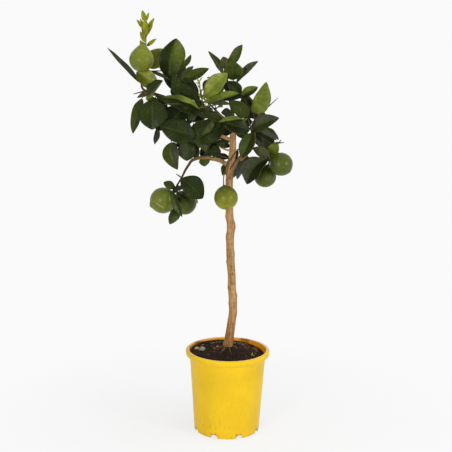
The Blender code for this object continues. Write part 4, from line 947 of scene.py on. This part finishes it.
def nearest_on_limb(route, point):
    """The closest point of a limb's route, with its distance and the limb's radius, in cm."""
    best = None
    for (start, first), (end, last) in zip(route, route[1:]):
        run = end - start
        share = clamped((metres(point) - start).dot(run) / run.length_squared)
        spot = (start + run * share) / CENTIMETRE
        found = (spot - point).length, spot, (first + (last - first) * share) / CENTIMETRE
        if best is None or found[0] < best[0]:
            best = found
    return best


def leaf_root(routes, base):
    """Where the petiole of a leaf with this base leaves the nearest limb, in cm, just inside it."""
    _, spot, radius = min((nearest_on_limb(route, base) for route in routes),
                          key=lambda found: found[0])
    return spot + (base - spot).normalized() * radius * 0.9


def leaf(canvas, root, seed, base, tip, width, faces, bow, tone, fold=LEAF_FOLD, belly=LEAF_BELLY,
         sweep=None):
    """A leaf blade with a soft fold and wavy edges, and its petiole back to root (all in cm)."""
    draw = random.Random(seed)
    base, tip, faces = Vector(base), Vector(tip), Vector(faces)
    along = (tip - base).normalized()
    up = (faces - along * faces.dot(along)).normalized()
    length = (tip - base).length
    waves, start = draw.uniform(1.2, 2.4), draw.uniform(0, math.tau)
    ripple = draw.uniform(0.02, 0.05)
    if sweep is None:
        sweep = draw.uniform(-0.02, 0.02) * length
    side = along.cross(up)
    uneven = draw.uniform(0, 90)
    rings = []
    petiole = base - root
    if petiole.length > SHORTEST_PETIOLE:
        for share in (0, 0.2, 0.45, 0.7, 0.9):
            wing = PETIOLE_HALF_WIDTH * (1 + 0.5 * math.sin(math.pi * share))
            rings.append(leaf_ring(root.lerp(base, share), petiole.normalized(), up, (wing, wing),
                                   PETIOLE_THICKNESS, 0, lambda across: 0, -0.1,
                                   blade_tones(tone, 0)))
    for station in range(LEAF_STATIONS + 1):
        share = 0.5 - 0.5 * math.cos(math.pi * station / LEAF_STATIONS)
        half_width = PETIOLE_HALF_WIDTH if station == 0 else blade_half_width(share, width, belly)
        spot = (base + along * length * share + up * (bow * 4 * share * (1 - share))
                + side * sweep * math.sin(math.pi * share))
        slope = bow / length * 4 * (1 - 2 * share)
        thickness = LEAF_THICKNESS + (PETIOLE_THICKNESS - LEAF_THICKNESS) * max(0, 1 - 6 * share)
        opening = min(1, 6 * share)

        def lift(across, share=share, half_width=half_width, opening=opening):
            phase = waves * math.tau * share + start + (1.3 if across > 0 else 0)
            wave = ripple * half_width * across ** 2 * math.sin(phase)
            groove = -0.035 * opening * math.exp(-(across / 0.10) ** 2)
            return wave * opening * 2 + groove
        widths = [half_width * (1 + EDGE_WANDER * noise.noise(Vector((share * 2.6, uneven, half))))
                  for half in (0, 4)]
        rings.append(leaf_ring(spot, (along + up * slope).normalized(), up, widths, thickness,
                               fold * opening, lift, share, blade_tones(tone, share)))
    loft(canvas, rings)


def build_leaf(name, row, routes, finish, replaced=()):
    """One leaf on the nearest of these limbs; its name is the seed of its random draws."""
    canvas = Canvas()
    leaf(canvas, leaf_root(routes, Vector(row[0])), name, *row)
    add_piece(name, canvas.mesh, finish, replaced)


def leafy_rows(limb, route):
    """Rows of leaves spaced along a twig, each turned around it by the golden angle."""
    count, first, length, lean = LEAFY_TWIGS[limb]
    draw = random.Random(limb)
    for number in range(count):
        index = int((first + (1 - first) * number / count) * (len(route) - 1))
        spot, beyond = route[index][0], route[index + 1][0]
        along = (beyond - spot).normalized()
        outward = Matrix.Rotation(number * GOLDEN_TURN, 3, along) @ along.orthogonal().normalized()
        way = (along * 0.4 + outward + Vector(lean)).normalized()
        base = spot / CENTIMETRE + way * LEAFY_PETIOLE
        long = length * draw.uniform(0.85, 1.15)
        width, bow = long * draw.uniform(0.48, 0.58), draw.uniform(0.2, 0.5)
        tone = draw.choice(("dark", "green", "green/dark"))
        yield base, base + way * long, width, along + Vector((0, 0, 0.8)), bow, tone, 0.2


def build_leaves(finish):
    """The leaves that the CAD has too, and those that only the looks need."""
    routes = {name: limb_route(*limb) for name, limb in LIMBS.items()}
    for limb, rows in LEAVES.items():
        for number, row in enumerate(rows, start=1):
            build_leaf(f"{limb}_leaf_{number}", row, [routes[limb]], finish,
                       [f"leaf_{limb}_{number}"])
    for number, row in enumerate(MORE_LEAVES, start=1):
        build_leaf(f"small_leaf_{number}", row, routes.values(), finish)
    for limb in LEAFY_TWIGS:
        for number, row in enumerate(leafy_rows(limb, routes[limb]), start=1):
            build_leaf(f"{limb}_small_leaf_{number}", row, [routes[limb]], finish)


def build_leaflets(name, leaflets, stem, finish, replaced=()):
    """Soft young leaflets, with the stem that carries them."""
    canvas = Canvas()
    if stem:
        radii = [SHOOT_STEM_RADIUS * CENTIMETRE * share for share in (1, 0.95, 0.9, 0.75, 0.4)]
        tube(canvas, smooth_route([metres(point) for point in stem], radii, 6), THORN_SIDES,
             tone=STEM_TONE)
    for index, (base, tip, width) in enumerate(leaflets):
        leaf(canvas, Vector(base), f"{name}{index}", base, tip, width, (0, -1, 0.2), 0.12, "young",
             0.4)
    add_piece(name, canvas.mesh, finish, replaced)


# -------- stage
CAMERA_PLACE = (-0.0081, -2.848, 1.142)
CAMERA_PITCH = 12.7          # degrees below the horizon
CAMERA_ROLL = 0.8            # degrees
CAMERA_LENS = 99.56
SENSOR = 36
PALE = (0.955, 0.955, 0.955)
PAPER = (0.9, 0.9, 0.9, 1)
FLOOR_RADIUS = 6
FLOOR_SIDES = 64
# The floor's glow: from which distance to which it grows, and its share at each.
FLOOR_FADE = (0.1, 0.7, 0.8, 1)
WORLD_LIGHT = 0.26
# Each lamp: its place, its width and height, its power, and whether it shows as a highlight.
LAMPS = {
    "right_panel": ((2.1, -1.5, 1.2), (0.22, 0.7), 24, True),
    "left_panel": ((-1.2, -2.5, 1.1), (0.24, 0.6), 29, True),
    "overhead": ((0.3, -0.2, 2.8), (1.2, 1.2), 32, False),
}
LAMP_TARGET = (0, 0, 0.55)


def build_camera():
    """The camera of the photograph."""
    camera = bpy.data.objects.new("camera", bpy.data.cameras.new("camera"))
    camera.data.lens = CAMERA_LENS
    camera.data.sensor_width = SENSOR
    camera.matrix_world = (Matrix.Translation(CAMERA_PLACE)
                           @ Matrix.Rotation(math.radians(90 - CAMERA_PITCH), 4, "X")
                           @ Matrix.Rotation(math.radians(CAMERA_ROLL), 4, "Z"))
    bpy.context.scene.collection.objects.link(camera)
    bpy.context.scene.camera = camera


def build_world():
    """Soft even light, in front of a plain pale backdrop."""
    world = bpy.data.worlds.new("studio")
    bpy.context.scene.world = world
    world.use_nodes = True
    world.node_tree.nodes.clear()
    sky = Nodes(world.node_tree)
    light = sky.node("Background", {0: (1, 1, 1, 1), 1: WORLD_LIGHT})
    backdrop = sky.node("Background", {0: (*PALE, 1)})
    sky.node("OutputWorld", {0: sky.glow_over(light, backdrop, sky.seen_directly())})


def build_floor():
    """White paper that keeps the plant's shadow near the pot and fades into the backdrop."""
    mesh = bmesh.new()
    bmesh.ops.create_circle(mesh, cap_ends=True, segments=FLOOR_SIDES, radius=FLOOR_RADIUS)
    floor = plain_object("floor", mesh)
    paper = Finish("floor_paper", 1, 0.5)
    paper.set("Base Color", PAPER)
    spot = paper.node("TexCoord").outputs["Object"]
    away = paper.node("VectorMath", {0: spot}, operation="LENGTH").outputs["Value"]
    fade = paper.step(away, *FLOOR_FADE, curve="LINEAR")
    glow = paper.node("Emission", {0: (*PALE, 1)})
    shown = paper.glow_over(paper.shader, glow, paper.times(paper.seen_directly(), fade))
    paper.plug(paper.tree.nodes["Material Output"].inputs[0], shown)
    floor.data.materials.append(paper.material)


def area_light(name, place, size, power, glints):
    """A rectangular lamp that faces the middle of the plant."""
    lamp = bpy.data.lights.new(name, "AREA")
    lamp.shape = "RECTANGLE"
    lamp.size, lamp.size_y = size
    lamp.energy = power
    made = bpy.data.objects.new(name, lamp)
    made.location = place
    made.rotation_euler = (Vector(LAMP_TARGET) - made.location).to_track_quat("-Z", "Y").to_euler()
    made.visible_glossy = glints
    bpy.context.scene.collection.objects.link(made)


def build_stage():
    build_camera()
    build_world()
    build_floor()
    for name, settings in LAMPS.items():
        area_light(name, *settings)
    bpy.context.scene.view_settings.view_transform = "Standard"


# -------- pot
def wall_radius(height):
    """Outer radius of the pot's plain body at a height."""
    return FOOT_RADIUS + (BODY_RADIUS - FOOT_RADIUS) * height / RIM_FOOT


def rounded(centre, radius, start, end, steps):
    """Points of an arc around a centre, from one heading to another in degrees."""
    return [(centre[0] + radius * math.cos(math.radians(turn)),
             centre[1] + radius * math.sin(math.radians(turn)))
            for turn in (start + (end - start) * step / steps for step in range(steps + 1))]


def pot_profile():
    """From the middle of the pot's floor, up its inside, over the rim and down its outside."""
    plate_top = CHANNEL_HEIGHT + FLOOR_PLATE
    disc = CENTRE_DISC_RADIUS
    inside = [(0, FLOOR_PLATE), (disc - CHANNEL_SLOPE / 2, FLOOR_PLATE),
              (disc + CHANNEL_SLOPE / 2, plate_top), (wall_radius(plate_top) - WALL, plate_top)]
    inside += [(wall_radius(height) - WALL, height) for height in (0.05, 0.1, 0.15, 0.178)]
    inside += [(RIM_INNER_RADIUS - 0.0012, POT_HEIGHT - 0.007)]
    lip = rounded((RIM_INNER_RADIUS + LIP_ARC, POT_HEIGHT - LIP_ARC), LIP_ARC, 180, 80, 5)
    lip += [(RIM_RADIUS - RIM_ARC, POT_HEIGHT - 0.0008)]
    lip += rounded((RIM_RADIUS - RIM_ARC, POT_HEIGHT - 0.0052), RIM_ARC, 80, -20, 7)
    lip += rounded((RIM_RADIUS - 0.0046, POT_HEIGHT - 0.0098), RIM_ARC, 0, -62, 5)
    groove = [(BODY_RADIUS + 0.0024, RIM_FOOT + 0.0012), (BODY_RADIUS + 0.0008, RIM_FOOT - 0.0006),
              (BODY_RADIUS + 0.0001, RIM_FOOT - 0.0026)]
    outside = [(wall_radius(height), height) for height in (0.17, 0.14, 0.1, 0.06, 0.03, 0.012)]
    foot = rounded((wall_radius(FOOT_ARC) - FOOT_ARC, FOOT_ARC), FOOT_ARC, 0, -90, 6)
    under = [(FOOT_RADIUS - WALL - 0.0015, 0), (wall_radius(CHANNEL_HEIGHT) - WALL, CHANNEL_HEIGHT),
             (disc + CHANNEL_SLOPE, CHANNEL_HEIGHT), (disc, 0), (0, 0)]
    return inside + lip + groove + outside + foot + under


def lathe(profile, sides):
    """Turn a profile that starts and ends on the axis into a closed bmesh."""
    mesh = bmesh.new()
    rings = [[mesh.verts.new(from_axis(reach, turn, height))
              for turn in (around(sides) if reach else (0,))]
             for reach, height in profile]
    for lower, upper in zip(rings, rings[1:]):
        bridge(mesh, lower, upper)
    return mesh


def notch_section():
    """The drainage notch seen from outside: flared at the floor, with a rounded top."""
    half_low, half_high = NOTCH_WIDTH / 2, NOTCH_TOP_WIDTH / 2
    top = CHANNEL_HEIGHT - CLEARANCE * CENTIMETRE
    right = [(half_low + 0.004, -0.002), (half_low + 0.0014, 0), (half_low + 0.0002, 0.0012),
             (half_low - 0.0008, 0.003), (half_high + 0.0006, top - 0.0012),
             (half_high - 0.001, top)]
    return right + [(-side, height) for side, height in reversed(right)]


def pot_cutters():
    """One mesh with all the notches and drain holes."""
    mesh = bmesh.new()
    for index in range(NOTCHES):
        turn = Matrix.Rotation(math.tau * (index + 0.5) / NOTCHES, 4, "Z")
        ends = [[mesh.verts.new(turn @ Vector((reach, side, height)))
                 for side, height in notch_section()]
                for reach in (FOOT_RADIUS - NOTCH_DEPTH, FOOT_RADIUS + NOTCH_DEPTH)]
        bridge(mesh, *ends)
        mesh.faces.new(ends[0][::-1])
        mesh.faces.new(ends[1])
        place = turn @ Matrix.Translation((DRAIN_HOLE_CENTRE, 0, CHANNEL_HEIGHT + FLOOR_PLATE / 2))
        bmesh.ops.create_cone(mesh, cap_ends=True, segments=DRAIN_HOLE_SIDES, matrix=place,
                              radius1=DRAIN_HOLE_RADIUS, radius2=DRAIN_HOLE_RADIUS,
                              depth=FLOOR_PLATE * 3)
    bmesh.ops.recalc_face_normals(mesh, faces=mesh.faces)
    return mesh


def build_pot(finish):
    """The turned shell with its notches and drain holes cut out."""
    shell = lathe(pot_profile(), POT_SIDES)
    bmesh.ops.recalc_face_normals(shell, faces=shell.faces)
    whole, cutters = plain_object("whole_pot", shell), plain_object("pot_cutters", pot_cutters())
    cut = whole.modifiers.new("notches", "BOOLEAN")
    cut.object, cut.operation, cut.solver = cutters, "DIFFERENCE", "EXACT"
    ready = whole.evaluated_get(bpy.context.evaluated_depsgraph_get())
    carved = bmesh.new()
    carved.from_mesh(ready.to_mesh())
    for spare in (whole, cutters):
        bpy.data.objects.remove(spare)
    made = add_piece("pot_shell", carved, finish, ["pot"])
    made.data.set_sharp_from_angle(angle=math.radians(SHARPEST_SMOOTH))


# -------- soil
def soil_height(x, y):
    """Height of the soil: a low mound with clods, higher at the back left than at the right."""
    reach = math.hypot(x, y)
    share = min(1, reach / SOIL_RADIUS)
    base = SOIL_EDGE + (SOIL_MOUND - SOIL_EDGE) * math.cos(share * math.pi / 2) ** 1.6
    base += SOIL_LEAN * (y - x) / SOIL_RADIUS * share
    clods = sum(size * noise.noise(Vector((x, y, layer)) * scale)
                for layer, (scale, size) in enumerate(SOIL_CLODS))
    calm = min(1, reach / 0.03) * min(1, (SOIL_RADIUS - reach) / 0.006 + 0.25)
    return base + clods * calm


def build_soil(finish):
    """The block of potting soil, with a finely broken surface and the trunk's socket."""
    clearance = CLEARANCE * CENTIMETRE
    plate_top = CHANNEL_HEIGHT + FLOOR_PLATE + clearance
    gap = WALL + clearance
    floor = FLOOR_PLATE + clearance
    block = [(0, floor), (CENTRE_DISC_RADIUS - CHANNEL_SLOPE / 2 - 0.0006, floor),
             (CENTRE_DISC_RADIUS + CHANNEL_SLOPE / 2 - 0.0003, plate_top)]
    block += [(wall_radius(height) - gap, height) for height in (plate_top, 0.1, 0.178)]
    surface = [(SOIL_RADIUS + (SOCKET_RADIUS - SOIL_RADIUS) * step / SOIL_RINGS, SOIL_EDGE)
               for step in range(SOIL_RINGS + 1)]
    mesh = lathe(block + surface + [(SOCKET_RADIUS, SOCKET_FLOOR), (0, SOCKET_FLOOR)], SOIL_SIDES)
    tone_layer = mesh.verts.layers.float_color.new("tone")
    for vertex in mesh.verts:
        vertex[tone_layer] = (*SOIL_TONES["peat"], 1)
        if abs(vertex.co.z - SOIL_EDGE) < HAIR:
            vertex.co.z = soil_height(vertex.co.x, vertex.co.y)
    add_piece("soil_block", mesh, finish, ["soil"])


def lump(canvas, place, long, wide, tone, draw, flat=0.7):
    """An irregular crumb, chip or stone: a small ball with dents, squashed and turned."""
    turned = (Matrix.Rotation(draw.uniform(0, math.tau), 4, "Z")
              @ Matrix.Rotation(draw.uniform(-0.4, 0.4), 4, "X"))
    ball = bmesh.ops.create_icosphere(canvas.mesh, subdivisions=2, radius=1.0)["verts"]
    shift = Vector((draw.uniform(0, 50), draw.uniform(0, 50), 0))
    shade = draw.uniform(0.7, 1.3)
    for vertex in ball:
        dent = (1 + 0.45 * noise.noise(vertex.co * 1.3 + shift)
                + 0.2 * noise.noise(vertex.co * 3 + shift))
        shape = Vector((vertex.co.x * long, vertex.co.y * wide, vertex.co.z * long * flat))
        vertex.co = turned @ (shape * dent) + place
        vertex[canvas.tone] = (*(part * shade for part in tone), 1)


def on_soil(x, y, sunk=0.0):
    """The point of the soil's surface here, or this far below it."""
    return Vector((x, y, soil_height(x, y) - sunk))


def scatter_crumbs(canvas, draw):
    """Crumbs all over the soil, between the trunk and the pot's wall."""
    spread = SOIL_RADIUS - SOCKET_RADIUS - 2 * CRUMB_MARGIN
    for _ in range(CRUMBS):
        reach = SOCKET_RADIUS + CRUMB_MARGIN + spread * math.sqrt(draw.random())
        turn = draw.uniform(0, math.tau)
        size = draw.choice(CRUMB_SIZES)
        tone = SOIL_TONES[draw.choice(("peat", "peat", "peat", "crumb", "crumb", "bark"))]
        spot = on_soil(reach * math.cos(turn), reach * math.sin(turn), size * SUNK)
        lump(canvas, spot, size * draw.uniform(0.8, 1.5), size, tone, draw)


def build_soil_bits(finish):
    """Crumbs of peat and bark, stones, moss and root threads on the soil."""
    draw = random.Random("soil bits")
    canvas = Canvas()
    scatter_crumbs(canvas, draw)
    for kind, rows in SOIL_BITS.items():
        for x, y, long, wide, flat in rows:
            lump(canvas, on_soil(x * CENTIMETRE, y * CENTIMETRE, wide * CENTIMETRE * SUNK),
                 long * CENTIMETRE / 2, wide * CENTIMETRE / 2, SOIL_TONES[kind], draw, flat)
    for x, y, spread, count in MOSS:
        for _ in range(count):
            near = [(middle + draw.gauss(0, spread)) * CENTIMETRE for middle in (x, y)]
            size = draw.uniform(*TUFT_SIZES)
            lump(canvas, on_soil(*near), size * 1.6, size,
                 SOIL_TONES[draw.choice(("moss", "moss", "pale_moss"))], draw, 0.9)
    for thread in ROOT_THREADS:
        start, end = (on_soil(x * CENTIMETRE, y * CENTIMETRE) for x, y in thread)
        middle = start.lerp(end, 0.5) + Vector((0, 0, ROOT_ARCH))
        tube(canvas, smooth_route([start, middle, end], ROOT_RADII, 6), 8, tone=SOIL_TONES["root"])
    add_piece("soil_bits", canvas.mesh, finish)


def main():
    build_stage()
    bark, peel, skin, peat = bark_finish(), fruit_finish(), leaf_finish(), soil_finish()
    build_pot(pot_finish())
    build_soil(peat)
    build_soil_bits(peat)
    build_wood(bark)
    for name in ORANGES:
        build_orange(name, peel)
    build_leaves(skin)
    build_leaflets("shoot_leaflets", SHOOT_LEAFLETS, SHOOT_STEM, skin, ["young_shoot"])
    build_leaflets("bud_leaflets", BUD_LEAFLETS, None, skin)


main()
